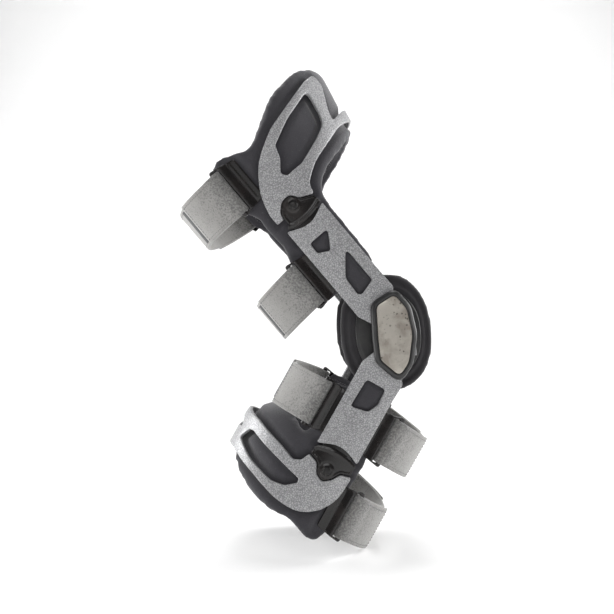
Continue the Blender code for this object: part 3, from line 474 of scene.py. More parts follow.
def make_segments(size):
    """The thigh and the calf section."""
    tilt, half = size.hinge_tilt, size.rest_flexion / 2.0
    low, high = size.calf_upright, size.thigh_upright
    thigh_front_depth, thigh_rear_depth, calf_depth, calf_swell = 98.0, 86.0, 71.0, 17.0

    def direction(lean, up):
        return ((-math.sin(lean), up * math.cos(lean)), (math.cos(lean), up * math.sin(lean)))

    def thigh_front(t):
        return thigh_front_depth + 0.2 * (np.maximum(t, high - 13.0) - high - 47.0)

    def thigh_rear(t):
        return thigh_rear_depth + 0.0 * np.asarray(t)

    def calf_rear(t):
        return calf_depth + calf_swell * ramp(t, low - 12.0, low + 14.0)

    def calf_front(t):
        return calf_depth + 0.0 * np.asarray(t)

    size.pivots = [on_hinge(size, 0.0, sign * size.pivot_spacing / 2.0) for sign in (1, -1)]
    k = size.knee_half_width
    return (Segment(k, size.pivots[0], *direction(tilt + half, 1.0), 1, 0.10, thigh_front,
                    thigh_rear),
            Segment(k, size.pivots[1], *direction(half - tilt, -1.0), -1, 0.03, calf_rear,
                    calf_front))


def on_hinge(size, x, z):
    """A point of the hinge's own frame, in the world's XZ plane."""
    c, s = math.cos(size.hinge_tilt), math.sin(size.hinge_tilt)
    return (x * c - z * s, x * s + z * c)


def whole_loops(segment, corners, step=12.0):
    """The half pattern and its mirror image as closed loops round the middle line, largest first.

    A corner whose u is None lies on the middle line.
    """
    ends = [(float(segment.quarter(t)) if u is None else u, t, r) for u, t, r in corners]
    points = rounded(ends, step)
    on_line = np.abs(points[:, 0] - segment.quarter(points[:, 1])) < 0.05
    flat = np.stack([points[:, 0] - segment.quarter(points[:, 1]), points[:, 1]], 1)
    flat[on_line, 0] = 0.0
    start = next(i for i in range(len(flat)) if on_line[i] and on_line[i - 1])
    flat, on_line = np.roll(flat, -start, 0), np.roll(on_line, -start)
    loops, chain = [], []
    for point, middle in zip(flat, on_line):
        chain.append(point)
        if middle and len(chain) > 1:
            if len(chain) > 2:
                half = np.array(chain)
                mirror = half[1:-1][::-1] * np.array([-1.0, 1.0])
                loops.append(np.concatenate([half, mirror]))
            chain = [point] if len(chain) == 2 else []
    area = [abs(np.sum(p[:, 0] * np.roll(p[:, 1], -1) - np.roll(p[:, 0], -1) * p[:, 1]))
            for p in loops]
    return [loops[i] for i in np.argsort(area)[::-1]]


def mirrored_hole(segment, corners):
    """A window on the outer side and its mirror image, measured from the middle line."""
    hole = rounded(corners)
    flat = np.stack([hole[:, 0] - segment.quarter(hole[:, 1]), hole[:, 1]], 1)
    return [flat, flat * np.array([-1.0, 1.0])]


# ---- patterns: corners as (u, t, radius), from the upright's length and the near strap ----
def thigh_patterns(size):
    e, s = size.thigh_upright, size.near_strap
    return {
        "cuff": [
            (None, e + 58, 0), (116, e + 56, 12), (87, e + 51.5, 4), (91, e + 62, 30),
            (108, e + 84, 8), (106, e + 96, 6), (88, e + 94, 20), (66, e + 88, 90),
            (27, e + 77, 60), (0, e + 62, 50), (-17, e + 41, 50), (-23, e + 20, 30),
            (-22.5, e + 10, 1.5), (-15.5, e + 10, 1), (-14, e + 16, 8), (-7, e + 22.5, 8),
            (2, e + 23.5, 6), (8, e + 15.5, 6), (20, e + 10.5, 2), (22.5, e + 20, 14),
            (40, e + 31.5, 50), (64, e + 38, 90), (89, e + 44.5, 60), (None, e + 46, 0)],
        "cuff_window": [
            (83, e + 86, 5), (45, e + 75, 60), (21, e + 63.5, 4), (17, e + 52, 8),
            (8.5, e + 42, 4), (12, e + 37, 3), (30, e + 37.5, 14), (58, e + 47, 20),
            (76, e + 55, 25)],
        "link": [
            (-14.5, e + 3.5, 1), (-14.2, e + 13, 3), (-11.5, e + 17.5, 6), (-6, e + 21.6, 7),
            (1.5, e + 22.2, 5), (7, e + 14.6, 6), (18.5, e + 9.4, 2), (20, e + 1.6, 1.5),
            (9, e - 2.6, 30), (-9, e - 2.6, 30), (-18.6, e + 0.6, 2)],
        "flange": [(-15, e - 11, 4), (15, e - 11, 4), (15, e + 16, 4), (8, e + 31, 5),
                   (-8, e + 31, 5), (-15, e + 16, 4)],
        "rivet": (-1.0, e + 14.0),
        "windows": (
            [(9.2, e - 20.5, 2.5), (-1.5, e - 37, 3), (-12, e - 31, 3), (-11.3, e - 20.5, 3)],
            [(10.3, e - 43, 3), (10.3, s - 13, 3), (-5, s - 17, 4), (-8, s - 14, 2),
             (-7, (e + s) / 2 - 30, 10)]),
        "liner": [
            (None, e + 40, 0), (118, e + 35.5, 40), (80, e + 29.5, 60), (55, e + 24, 40),
            (35, e + 15, 20), (28, e + 2, 20), (27, e - 30, 80), (24.5, s - 2, 6),
            (-40, s - 2, 8), (-41, s + 44, 6), (-35, s + 52, 8), (-35, e + 28, 8),
            (-42, e + 36, 10), (-46, e + 80, 10), (-32, e + 88, 14), (0, e + 75, 22),
            (12, e + 80, 30), (52, e + 101, 70), (96, e + 107.5, 16), (None, e + 96, 0)],
    }


def calf_patterns(size):
    e, s = size.calf_upright, size.near_strap
    return {
        "cuff": [
            (None, e + 20.5, 0), (118, e + 20, 2), (108, e + 27, 1.5), (124, e + 30, 2),
            (None, e + 31, 0), (None, e + 48, 0), (98, e + 47.5, 40), (60, e + 54, 60),
            (30, e + 61, 60), (6, e + 62, 40), (-12, e + 51, 40), (-21.5, e + 34, 30),
            (-22.5, e + 13, 2), (-12, e + 14.5, 4), (-7.5, e + 22, 6), (0, e + 28, 7),
            (7.5, e + 24, 7), (12, e + 15, 6), (21.5, e + 12, 2), (25, e + 20, 4),
            (32, e + 23.5, 5), (48, e + 18.5, 40), (84, e + 12, 60), (None, e + 9.5, 0)],
        "cuff_window": [
            (100, e + 35.5, 2), (91, e + 24.5, 3), (84, e + 23, 3), (45, e + 30, 60),
            (19, e + 35.5, 2), (18, e + 39, 2), (27, e + 47, 8), (40, e + 50, 20),
            (70, e + 45, 60)],
        "link": [
            (-20, e + 11, 1), (-11, e + 13.2, 4), (-6.6, e + 20.6, 6), (0, e + 26.6, 7),
            (6.6, e + 22.8, 7), (11.2, e + 13.8, 6), (20, e + 10.8, 1.5), (20, e + 1.6, 1.5),
            (9, e - 2.6, 30), (-9, e - 2.6, 30), (-20, e + 1.6, 1.5)],
        "flange": [(-15, e - 11, 4), (15, e - 11, 4), (15, e + 14, 4), (8, e + 34, 5),
                   (-8, e + 34, 5), (-15, e + 14, 4)],
        "rivet": (0.5, e + 17.0),
        "windows": ([(9.5, s - 18, 4), (-10, s - 18, 4), (-10.5, s - 3, 4), (-6, s + 6.5, 6),
                     (10.5, s + 10, 3)],),
        "liner": [
            (None, e + 49.5, 0), (101, e + 53.5, 25), (84, e + 61, 40), (58, e + 69, 50),
            (30, e + 73.5, 50), (8, e + 69.5, 20), (-16, e + 79, 14), (-32, e + 72, 12),
            (-31, e + 15, 20), (-28, s + 34, 40), (-27, s - 2, 8), (38, s - 2, 8),
            (38, s + 41, 8), (27, e + 4, 6), (48, e - 1, 30), (76, e - 10, 40),
            (102, e - 7, 30), (None, e - 4, 0)],
    }


FACE_PLATE = [(1, 36, 5), (-15.5, 27.5, 7), (-16.5, 0, 80), (-16, -20, 8), (-1, -35, 5),
              (8, -24, 20), (13.5, 0, 25), (10.5, 23, 15)]


def sections(size):
    """(body, segment, patterns, upright length) of the thigh and the calf."""
    return (("thigh", size.thigh, thigh_patterns(size), size.thigh_upright),
            ("calf", size.calf, calf_patterns(size), size.calf_upright))


class Strap:
    """A strap: its section, its bar's place (u), where it starts (t) and its slant."""

    def __init__(self, size, name, body, segment, sign, bar, low, slant):
        self.name, self.body, self.segment, self.sign = name, body, segment, sign
        self.bar, self.low, self.slant = bar, low, slant
        self.high = low + size.strap_width

    def shift(self, angle, at_bar):
        """How far along the leg the slant has carried the strap at an angle round it."""
        return self.slant * (np.sin(np.abs(angle)) ** 2 - np.sin(np.abs(at_bar)) ** 2)


def straps(size):
    near, high, low = size.near_strap, size.thigh_upright, size.calf_upright
    return (
        Strap(size, "thigh_upper", "thigh", size.thigh, -1, 38.0, high + 37.0, 5.0),
        Strap(size, "thigh_lower", "thigh", size.thigh, -1, 40.0, near, -5.0),
        Strap(size, "calf_rear", "calf", size.calf, 1, 40.0, near, 5.0),
        Strap(size, "calf_front_upper", "calf", size.calf, -1, 38.0, near, 6.0),
        Strap(size, "calf_front_lower", "calf", size.calf, -1, 40.0, low + 23.0, 7.0),
    )


# ---- materials and node trees ----
class Term:
    """A socket that takes part in sums: each operator adds its Math node."""

    def __init__(self, graph, socket):
        self.graph, self.socket = graph, socket

    def maths(self, operation, first, second):
        return self.graph.node("ShaderNodeMath", {"operation": operation},
                               {0: first, 1: second})

    def __add__(self, other):
        return self.maths("ADD", self, other)

    def __sub__(self, other):
        return self.maths("SUBTRACT", self, other)

    def __rsub__(self, other):
        return self.maths("SUBTRACT", other, self)

    def __mul__(self, other):
        return self.maths("MULTIPLY", self, other)

    __radd__ = __add__
    __rmul__ = __mul__


class Graph:
    """A node tree that is filled one node at a time."""

    def __init__(self, tree):
        self.tree = tree

    def node(self, kind, settings=None, sockets=None, output=0):
        """Add a node: its settings first, then a value or a Term for each socket it names."""
        made = self.tree.nodes.new(kind)
        for key, value in (settings or {}).items():
            if key == "stops":
                while len(made.color_ramp.elements) < len(value):
                    made.color_ramp.elements.new(1.0)
                for element, (place, grey) in zip(made.color_ramp.elements, value):
                    element.position, element.color = place, (grey, grey, grey, 1.0)
            else:
                setattr(made, key, value)
        for key, value in (sockets or {}).items():
            socket = pick(made.inputs, key)
            if isinstance(value, Term):
                self.tree.links.new(value.socket, socket)
            else:
                socket.default_value = value
        return Term(self, pick(made.outputs, output))


def pick(sockets, key):
    """A socket by number, identifier or name."""
    if isinstance(key, int):
        return sockets[key]
    for socket in sockets:
        if socket.identifier == key:
            return socket
    return sockets[key]


class Finish(Graph):
    """A material under way, with the textures that the finishes share."""

    def __init__(self, name):
        self.material = bpy.data.materials.new("brace_" + name)
        self.material.use_nodes = True
        super().__init__(self.material.node_tree)
        self.tree.nodes.clear()
        self.place = self.node("ShaderNodeTexCoord", output="Object")

    def noise(self, scale, detail=2.0, vector=None, output="Fac"):
        return self.node("ShaderNodeTexNoise", {},
                         {"Vector": vector or self.place, "Scale": scale, "Detail": detail},
                         output)

    def cells(self, scale, feature="F1", vector=None):
        return self.node("ShaderNodeTexVoronoi", {"feature": feature},
                         {"Vector": vector or self.place, "Scale": scale}, "Distance")

    def steps(self, value, *stops):
        return self.node("ShaderNodeValToRGB", {"stops": stops}, {"Fac": value}, "Color")

    def mix(self, factor, first, second):
        colours = [(*c, 1.0) if isinstance(c, tuple) else c for c in (first, second)]
        return self.node("ShaderNodeMix", {"data_type": "RGBA"},
                         {"Factor_Float": factor, "A_Color": colours[0],
                          "B_Color": colours[1]}, "Result_Color")

    def warped(self, scale, reach):
        """Object coordinates shaken by noise."""
        shake = self.noise(scale, 1.0, output="Color")
        return self.node("ShaderNodeVectorMath", {"operation": "MULTIPLY_ADD"},
                         {0: shake, 1: (reach, reach, reach), 2: self.place}, "Vector")

    def done(self, base, roughness, height, reach, **constants):
        """Close the material: colour, roughness, bump height over reach, fixed values."""
        normal = self.node("ShaderNodeBump", {},
                           {"Height": height, "Distance": reach, "Strength": 1.0}, "Normal")
        fixed = {key.replace("_", " "): value for key, value in constants.items()}
        shader = self.node("ShaderNodeBsdfPrincipled", {},
                           {"Base Color": base, "Roughness": roughness, "Normal": normal,
                            **fixed}, "BSDF")
        end = self.tree.nodes.new("ShaderNodeOutputMaterial")
        self.tree.links.new(shader.socket, end.inputs["Surface"])
        return self.material


def coat_finish(c):
    """Silver-grey hammered powder coat: pale islands between fine dark veins."""
    f = Finish("frame_coat")
    islands = f.cells(540.0, "DISTANCE_TO_EDGE", f.warped(800.0, 0.0016))
    vein = f.steps(islands, (0.03, 1.0), (0.24, 0.0))
    fleck = f.steps(f.noise(1500.0, 2.0), (0.40, 0.0), (0.66, 1.0))
    drift = f.noise(38.0, 3.0)
    base = f.mix(vein * 0.62 + fleck * 0.30, tuple(c.frame_coat), tuple(c.frame_vein))
    base = f.mix(drift * 0.16, base, (0.72, 0.72, 0.73))
    return f.done(base, 0.34 + vein * 0.18 + drift * 0.10, islands + fleck * 0.15, 0.00022,
                  Metallic=0.35, Coat_Weight=0.18, Coat_Roughness=0.25)


def black_finish(c):
    """Semi-gloss moulded nylon with rubbed, slightly brown patches."""
    f = Finish("black_plastic")
    grain = f.noise(3200.0, 2.0)
    smudge = f.steps(f.noise(55.0, 3.0), (0.42, 0.0), (0.70, 1.0))
    scratch = f.steps(f.noise(260.0, 6.0, f.warped(90.0, 0.004)), (0.60, 0.0), (0.66, 1.0))
    base = f.mix(smudge * 0.55, tuple(c.black_plastic), (0.018, 0.012, 0.0105))
    base = f.mix(scratch * 0.15, base, (0.04, 0.036, 0.034))
    return f.done(base, 0.17 + smudge * 0.14 + grain * 0.05, grain + scratch * 0.4, 0.000004,
                  Specular_IOR_Level=0.45, Coat_Weight=0.10, Coat_Roughness=0.12)


def hinge_finish(c):
    """Satin moulded nylon."""
    f = Finish("hinge_plastic")
    grain = f.noise(2600.0, 3.0)
    rub = f.steps(f.noise(70.0, 4.0), (0.45, 0.0), (0.75, 1.0))
    base = f.mix(rub * 0.5, tuple(c.hinge_plastic), (0.05, 0.048, 0.046))
    return f.done(base, 0.30 + grain * 0.14 + rub * 0.08, grain, 0.00005)


def knit_finish(c):
    """Fine charcoal knit over foam."""
    f = Finish("liner_knit")
    loops = f.cells(1250.0, "F1", f.warped(500.0, 0.0006))
    fuzz = f.noise(2600.0, 3.0)
    drift = f.noise(32.0, 4.0)
    lint = f.steps(f.noise(700.0, 5.0), (0.66, 0.0), (0.74, 1.0))
    base = f.mix(loops * 0.75, tuple(c.liner), (0.028, 0.027, 0.031))
    base = f.mix(drift * 0.45, base, (0.078, 0.076, 0.084))
    base = f.mix(lint * 0.30, base, (0.17, 0.17, 0.175))
    return f.done(base, 0.80 + fuzz * 0.15, loops + fuzz * 0.5, 0.00016,
                  Sheen_Weight=0.35, Sheen_Roughness=0.45, Specular_IOR_Level=0.3)


def suede_finish(c):
    """Charcoal suede face of the condyle pads."""
    f = Finish("condyle_suede")
    nap = f.noise(1900.0, 4.0)
    brushed = f.noise(60.0, 3.0, f.warped(30.0, 0.01))
    pits = f.cells(900.0)
    base = f.mix(nap * 0.6, tuple(c.condyle), (0.018, 0.017, 0.019))
    base = f.mix(brushed * 0.4, base, (0.07, 0.067, 0.072))
    return f.done(base, 0.78 + nap * 0.14, nap + pits * 0.4, 0.00014,
                  Sheen_Weight=0.3, Sheen_Roughness=0.4, Specular_IOR_Level=0.3)


def strap_finish(c):
    """Light grey brushed loop, mottled, and darker towards the bars: painted shade of the fold round
    each bar, with more dark pile there.
    """
    f = Finish("strap_webbing")
    # near: painted shade of the strap's fold round its bar, fading along the strap; it also adds dark
    # pile there
    near = f.node("ShaderNodeAttribute", {"attribute_name": "near_bar"}, {}, "Fac")
    pile = f.noise(2300.0, 3.0)
    clumps = f.noise(620.0, 4.0, f.warped(300.0, 0.002))
    patches = f.steps(f.noise(85.0, 3.0), (0.38, 0.0), (0.66, 1.0))
    spots = f.steps(clumps + near * 0.24 + patches * 0.05, (0.62, 0.0), (0.86, 1.0))
    base = f.mix(pile * 0.30, tuple(c.strap), (0.30, 0.295, 0.285))
    # painted shade of the fold darkens the webbing towards the bar, with random darker patches
    base = f.mix(near * 0.36 + patches * 0.12, base, (0.17, 0.168, 0.162))
    base = f.mix(spots * 0.8, base, tuple(c.strap_dark))
    return f.done(base, 0.86 + pile * 0.12, pile + clumps * 0.8, 0.00030,
                  Sheen_Weight=0.45, Sheen_Roughness=0.5, Specular_IOR_Level=0.2)


def hook_finish(c):
    """Dark grey woven hook tape."""
    f = Finish("hook_tape")
    hooks = f.cells(1500.0)
    weave = f.noise(1100.0, 2.0)
    base = f.mix(hooks * 0.8, tuple(c.hook_tab), (0.03, 0.03, 0.032))
    return f.done(base, 0.62 + weave * 0.2, hooks + weave * 0.3, 0.00018, Sheen_Weight=0.15)


def nickel_finish(c):
    """Aged nickel: cloudy stains, dark pits and fine scratches."""
    f = Finish("aged_nickel")
    cloud = f.noise(75.0, 5.0, f.warped(40.0, 0.01))
    stain = f.steps(cloud, (0.44, 0.0), (0.64, 1.0))
    pits = f.steps(f.cells(330.0, "F1", f.warped(700.0, 0.0014)), (0.16, 1.0), (0.34, 0.0))
    sparse = f.steps(f.noise(120.0, 3.0), (0.44, 0.0), (0.58, 1.0))
    brushed = f.noise(400.0, 5.0)
    base = f.mix(brushed * 0.35, tuple(c.nickel), (0.40, 0.37, 0.33))
    base = f.mix(stain * 0.55, base, (0.20, 0.17, 0.145))
    base = f.mix(pits * sparse * 0.85, base, (0.05, 0.045, 0.04))
    return f.done(base, 0.32 + stain * 0.22 + brushed * 0.12, brushed * 0.5 - pits * sparse,
                  0.00010, Metallic=0.75)


def black_steel_finish(c):
    """Blackened steel with the black rubbed thin."""
    f = Finish("blackened_steel")
    grind = f.noise(1300.0, 4.0)
    rubbed = f.steps(f.noise(420.0, 4.0), (0.50, 0.0), (0.74, 1.0))
    base = f.mix(rubbed * 0.6, tuple(c.black_steel), (0.09, 0.085, 0.08))
    return f.done(base, 0.30 + grind * 0.16 + rubbed * 0.1, grind, 0.00004, Metallic=0.6)


def steel_finish(c):
    """Dulled steel."""
    f = Finish("dulled_steel")
    grind = f.noise(900.0, 4.0)
    tarnish = f.steps(f.noise(110.0, 4.0), (0.45, 0.0), (0.72, 1.0))
    base = f.mix(tarnish * 0.5, tuple(c.steel), (0.16, 0.15, 0.145))
    return f.done(base, 0.30 + grind * 0.16 + tarnish * 0.14, grind, 0.00004, Metallic=0.95)


def thread_finish(c):
    """Twisted thread."""
    f = Finish("thread")
    twist = f.noise(5200.0, 1.0)
    base = f.mix(twist * 0.5, tuple(c.thread), (0.06, 0.06, 0.062))
    return f.done(base, 0.6 + twist * 0.2, twist, 0.00005, Sheen_Weight=0.2)


def floor_finish(c):
    """Matt white paper."""
    f = Finish("paper")
    tooth = f.noise(260.0, 3.0)
    base = f.mix(tooth * 0.15, tuple(c.floor), (0.90, 0.90, 0.90))
    return f.done(base, 0.85 + tooth * 0.1, tooth, 0.00004, Specular_IOR_Level=0.1,
                  Emission_Color=(1.0, 1.0, 1.0, 1.0), Emission_Strength=0.06)


FINISHES = {"frame_coat": coat_finish, "black_plastic": black_finish,
            "hinge_plastic": hinge_finish, "liner_knit": knit_finish,
            "condyle_suede": suede_finish, "strap_webbing": strap_finish,
            "hook_tape": hook_finish, "aged_nickel": nickel_finish,
            "dulled_steel": steel_finish, "blackened_steel": black_steel_finish,
            "thread": thread_finish, "paper": floor_finish}


def finish(name):
    """The material of that name, made when it is first asked for."""
    made = bpy.data.materials.get("brace_" + name)
    return made or FINISHES[name](bpy.context.scene.brace_colours)


# ---- meshes and pieces ----
def mesh_object(name, verts, faces, material):
    """A smooth object from (points, faces) in millimetres, with its faces turned outwards."""
    mesh = bpy.data.meshes.new(name)
    mesh.from_pydata((np.asarray(verts) * MM).tolist(), [],
                     [tuple(int(i) for i in f) for f in faces])
    bm = bmesh.new()
    bm.from_mesh(mesh)
    bmesh.ops.recalc_face_normals(bm, faces=bm.faces)
    bm.to_mesh(mesh)
    bm.free()
    mesh.shade_smooth()
    mesh.materials.append(finish(material))
    obj = bpy.data.objects.new(name, mesh)
    bpy.context.scene.collection.objects.link(obj)
    return obj


def settle(obj):
    """Turn an object's modifiers into a plain mesh."""
    bpy.context.view_layer.update()
    graph = bpy.context.evaluated_depsgraph_get()
    mesh = bpy.data.meshes.new_from_object(obj.evaluated_get(graph))
    obj.modifiers.clear()
    obj.data = mesh
    return obj


def piece(obj, body, slot, *nodes):
    """Attach a finished piece to its body, and hide the imported parts that it replaces."""
    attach(obj, body)
    if nodes:
        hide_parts(*nodes)
    return obj


def pair(stem, ending, body, material, slot, shell_at):
    """A piece on each side; shell_at(side) gives its (points, faces)."""
    for where, side in SIDES:
        node = "%s_%s" % (stem, where)
        obj = mesh_object("%s_%s" % (node, ending), *shell_at(side), material)
        piece(obj, body, slot, node)


def coordinates(obj):
    """A mesh's points as an array in millimetres."""
    co = np.empty(len(obj.data.vertices) * 3)
    obj.data.vertices.foreach_get("co", co)
    return co.reshape(-1, 3) / MM


def move_to(obj, spots):
    obj.data.vertices.foreach_set("co", (np.asarray(spots) * MM).ravel())
    obj.data.update()


def eased(obj, count):
    """Add a modifier that smooths the mesh count times."""
    ease = obj.modifiers.new("ease", "SMOOTH")
    ease.factor, ease.iterations = 0.5, count


def inflate(obj, voxel, cap, smooth):
    """Remesh a pad, blow it up as cloth, hold each point within cap, and round it off."""
    remesh = obj.modifiers.new("voxels", "REMESH")
    remesh.mode, remesh.voxel_size = "VOXEL", voxel * MM
    settle(obj)
    before = coordinates(obj)
    cloth = obj.modifiers.new("cloth", "CLOTH")
    cloth.settings.use_pressure = True
    cloth.settings.uniform_pressure_force = 4.0
    cloth.settings.mass = 0.2
    cloth.settings.effector_weights.gravity = 0.0
    cloth.point_cache.frame_start, cloth.point_cache.frame_end = 1, CLOTH_FRAMES
    for step in range(1, CLOTH_FRAMES + 1):
        bpy.context.scene.frame_set(step)
    settle(obj)
    bpy.context.scene.frame_set(1)
    move = coordinates(obj) - before
    reach = np.linalg.norm(move, axis=1)
    scale = np.minimum(1.0, cap / np.maximum(reach, 1e-9))
    move_to(obj, before + move * scale[:, None])
    eased(obj, smooth)
    rounder = obj.modifiers.new("rounder", "SUBSURF")
    rounder.levels = rounder.render_levels = 1
    settle(obj)
    obj.data.shade_smooth()
    return obj


# ---- what repeats ----
class Repeat(Graph):
    """A Geometry Nodes tree with named inputs, each a socket type and a default."""

    def __init__(self, name, **inputs):
        super().__init__(bpy.data.node_groups.new(name, "GeometryNodeTree"))
        self.tree.is_modifier = True
        face = self.tree.interface
        face.new_socket("Geometry", in_out="INPUT", socket_type="NodeSocketGeometry")
        for label, default in inputs.items():
            socket = face.new_socket(label.replace("_", " "), in_out="INPUT",
                                     socket_type="NodeSocketFloat")
            socket.default_value = default
        face.new_socket("Material", in_out="INPUT", socket_type="NodeSocketMaterial")
        face.new_socket("Geometry", in_out="OUTPUT", socket_type="NodeSocketGeometry")
        self.source = self.tree.nodes.new("NodeGroupInput").outputs

    def given(self, label):
        return Term(self, self.source[label])

    def laid(self, points, instance, turn):
        """Close the tree: an instance on each point, made real and given the material."""
        copies = self.node("GeometryNodeInstanceOnPoints", {},
                           {"Points": points, "Instance": instance, "Rotation": turn})
        real = self.node("GeometryNodeRealizeInstances", {}, {"Geometry": copies})
        painted = self.node("GeometryNodeSetMaterial", {},
                            {"Geometry": real, "Material": self.given("Material")})
        end = self.tree.nodes.new("NodeGroupOutput")
        self.tree.links.new(painted.socket, end.inputs["Geometry"])
        return self.tree


def stitch_tree():
    """Lays a stitch at every pitch along the edges it is given."""
    tree = Repeat("stitches", Pitch=0.0029, Stitch_length=0.0021, Thread_radius=0.00028)
    curve = tree.node("GeometryNodeMeshToCurve", {}, {"Mesh": tree.given("Geometry")})
    spaced = tree.node("GeometryNodeResampleCurve", {"mode": "LENGTH"},
                       {"Curve": curve, "Length": tree.given("Pitch")})
    bead = tree.node("GeometryNodeMeshUVSphere", {}, {"Segments": 6, "Rings": 4, "Radius": 1.0})
    radius = tree.given("Thread radius")
    scale = tree.node("ShaderNodeCombineXYZ", {},
                      {"X": tree.given("Stitch length") * 0.5, "Y": radius, "Z": radius})
    stitch = tree.node("GeometryNodeTransform", {}, {"Geometry": bead, "Scale": scale})
    along = tree.node("GeometryNodeInputTangent", output="Tangent")
    turn = tree.node("FunctionNodeAlignRotationToVector", {"axis": "X"}, {"Vector": along})
    return tree.laid(spaced, stitch, turn)


def rivet_tree():
    """Sets a domed rivet with a collar on every point, along its "axis" attribute."""
    tree = Repeat("rivets", Head_radius=0.0044, Head_height=0.0016)
    radius, height = tree.given("Head radius"), tree.given("Head height")
    collar = tree.node("GeometryNodeMeshCylinder", {},
                       {"Vertices": 28, "Radius": radius, "Depth": height * 0.55})
    ball = tree.node("GeometryNodeMeshUVSphere", {}, {"Segments": 28, "Rings": 14, "Radius": 1.0})
    flat = tree.node("ShaderNodeCombineXYZ", {},
                     {"X": radius * 0.78, "Y": radius * 0.78, "Z": height * 0.72})
    raised = tree.node("ShaderNodeCombineXYZ", {}, {"X": 0.0, "Y": 0.0, "Z": height * 0.28})
    dome = tree.node("GeometryNodeTransform", {},
                     {"Geometry": ball, "Scale": flat, "Translation": raised})
    head = tree.tree.nodes.new("GeometryNodeJoinGeometry")
    for part in (collar, dome):
        tree.tree.links.new(part.socket, head.inputs[0])
    axis = tree.node("GeometryNodeInputNamedAttribute", {"data_type": "FLOAT_VECTOR"},
                     {"Name": "axis"}, "Attribute")
    turn = tree.node("FunctionNodeAlignRotationToVector", {"axis": "Z"}, {"Vector": axis})
    return tree.laid(tree.given("Geometry"), Term(tree, head.outputs[0]), turn)


def grow(obj, tree, **values):
    """Run a tree on an object and keep its result as a plain mesh."""
    modifier = obj.modifiers.new(tree.name, "NODES")
    modifier.node_group = tree
    for item in tree.interface.items_tree:
        key = item.name.lower().replace(" ", "_")
        if item.in_out == "INPUT" and key in values:
            modifier[item.identifier] = values[key]
    settle(obj)
    obj.data.shade_smooth()
    return obj


def tree_named(name, maker):
    return bpy.data.node_groups.get(name) or maker()


def stitched(name, lines, body, slot, closed=False):
    """Rows of stitches along lines of points in millimetres."""
    verts, edges = [], []
    for line in lines:
        first = len(verts)
        verts += [tuple(np.asarray(p) * MM) for p in line]
        edges += [(first + k, first + k + 1) for k in range(len(line) - 1)]
        if closed:
            edges.append((len(verts) - 1, first))
    mesh = bpy.data.meshes.new(name)
    mesh.from_pydata(verts, edges, [])
    obj = bpy.data.objects.new(name, mesh)
    bpy.context.scene.collection.objects.link(obj)
    size = bpy.context.scene.brace_sizes
    grow(obj, tree_named("stitches", stitch_tree), pitch=size.stitch_pitch,
         stitch_length=size.stitch_length, thread_radius=size.thread_radius,
         material=finish("thread"))
    return piece(obj, body, slot)


# ---- operators: one for each piece or group of like pieces ----
class BRACE_OT_stage(bpy.types.Operator):
    """Floor, backdrop, camera and lights"""

    bl_idname = "brace.stage"
    bl_label = "Stage"

    def execute(self, context):
        scene, stage = context.scene, context.scene.brace_stage
        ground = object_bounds()[0][2] / MM
        reach, bend, wall = 2600.0, 500.0, 1500.0
        profile = [(-reach, 0.0), (wall - bend, 0.0)]
        profile += [(wall - bend + bend * math.sin(a), bend * (1.0 - math.cos(a)))
                    for a in np.linspace(0.1, math.pi / 2.0, 16)]
        profile.append((wall, reach))
        verts = [(x, y, ground + z) for y, z in profile for x in (-reach, reach)]
        faces = [(2 * k, 2 * k + 1, 2 * k + 3, 2 * k + 2) for k in range(len(profile) - 1)]
        floor = mesh_object("backdrop", verts, faces, "paper")
        floor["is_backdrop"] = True
        camera = bpy.data.objects.new("camera", bpy.data.cameras.new("camera"))
        camera.data.lens, camera.data.sensor_width = stage.lens, 36.0
        camera.data.clip_start = 0.01
        camera.location = Vector(stage.aim) - Vector((0.0, stage.distance, 0.0))
        camera.rotation_euler = (math.pi / 2.0, 0.0, 0.0)
        scene.collection.objects.link(camera)
        scene.camera = camera
        middle = Vector((-0.08, 0.0, 0.02))
        lamps = (("key", (-0.25, -1.5, 0.9), stage.key, 1.1),
                 ("rim_left", (-1.35, 0.30, 0.35), stage.rim, 0.9),
                 ("rim_right", (1.25, 0.25, 0.40), stage.rim, 0.9),
                 ("top", (0.0, 0.35, 1.6), stage.top, 0.8))
        for name, place, power, width in lamps:
            lamp = bpy.data.lights.new(name, "AREA")
            lamp.energy, lamp.size = power, width
            holder = bpy.data.objects.new(name, lamp)
            holder.location = place
            holder.rotation_euler = (middle - Vector(place)).to_track_quat("-Z", "Y").to_euler()
            scene.collection.objects.link(holder)
        world = bpy.data.worlds.new("surround")
        world.use_nodes = True
        world.node_tree.nodes["Background"].inputs["Color"].default_value = (1, 1, 1, 1)
        world.node_tree.nodes["Background"].inputs["Strength"].default_value = stage.sky
        scene.world = world
        scene.view_settings.view_transform = "Standard"
        return {"FINISHED"}


class BRACE_OT_cuffs(bpy.types.Operator):
    """Powder-coated thigh and calf cuffs"""

    bl_idname = "brace.cuffs"
    bl_label = "Cuffs"

    def execute(self, context):
        size = Sizes(context.scene)
        for body, segment, pattern, _ in sections(size):
            outline, *holes = whole_loops(segment, pattern["cuff"])
            holes += mirrored_hole(segment, pattern["cuff_window"])
            shell = plate(outline, holes, 3.6, segment.place_whole, level(0.0),
                          level(-size.frame_wall), size.frame_edge)
            obj = mesh_object(body + "_cuff_shell", *shell, "frame_coat")
            piece(obj, body, "frame_coat", body + "_cuff")
        return {"FINISHED"}


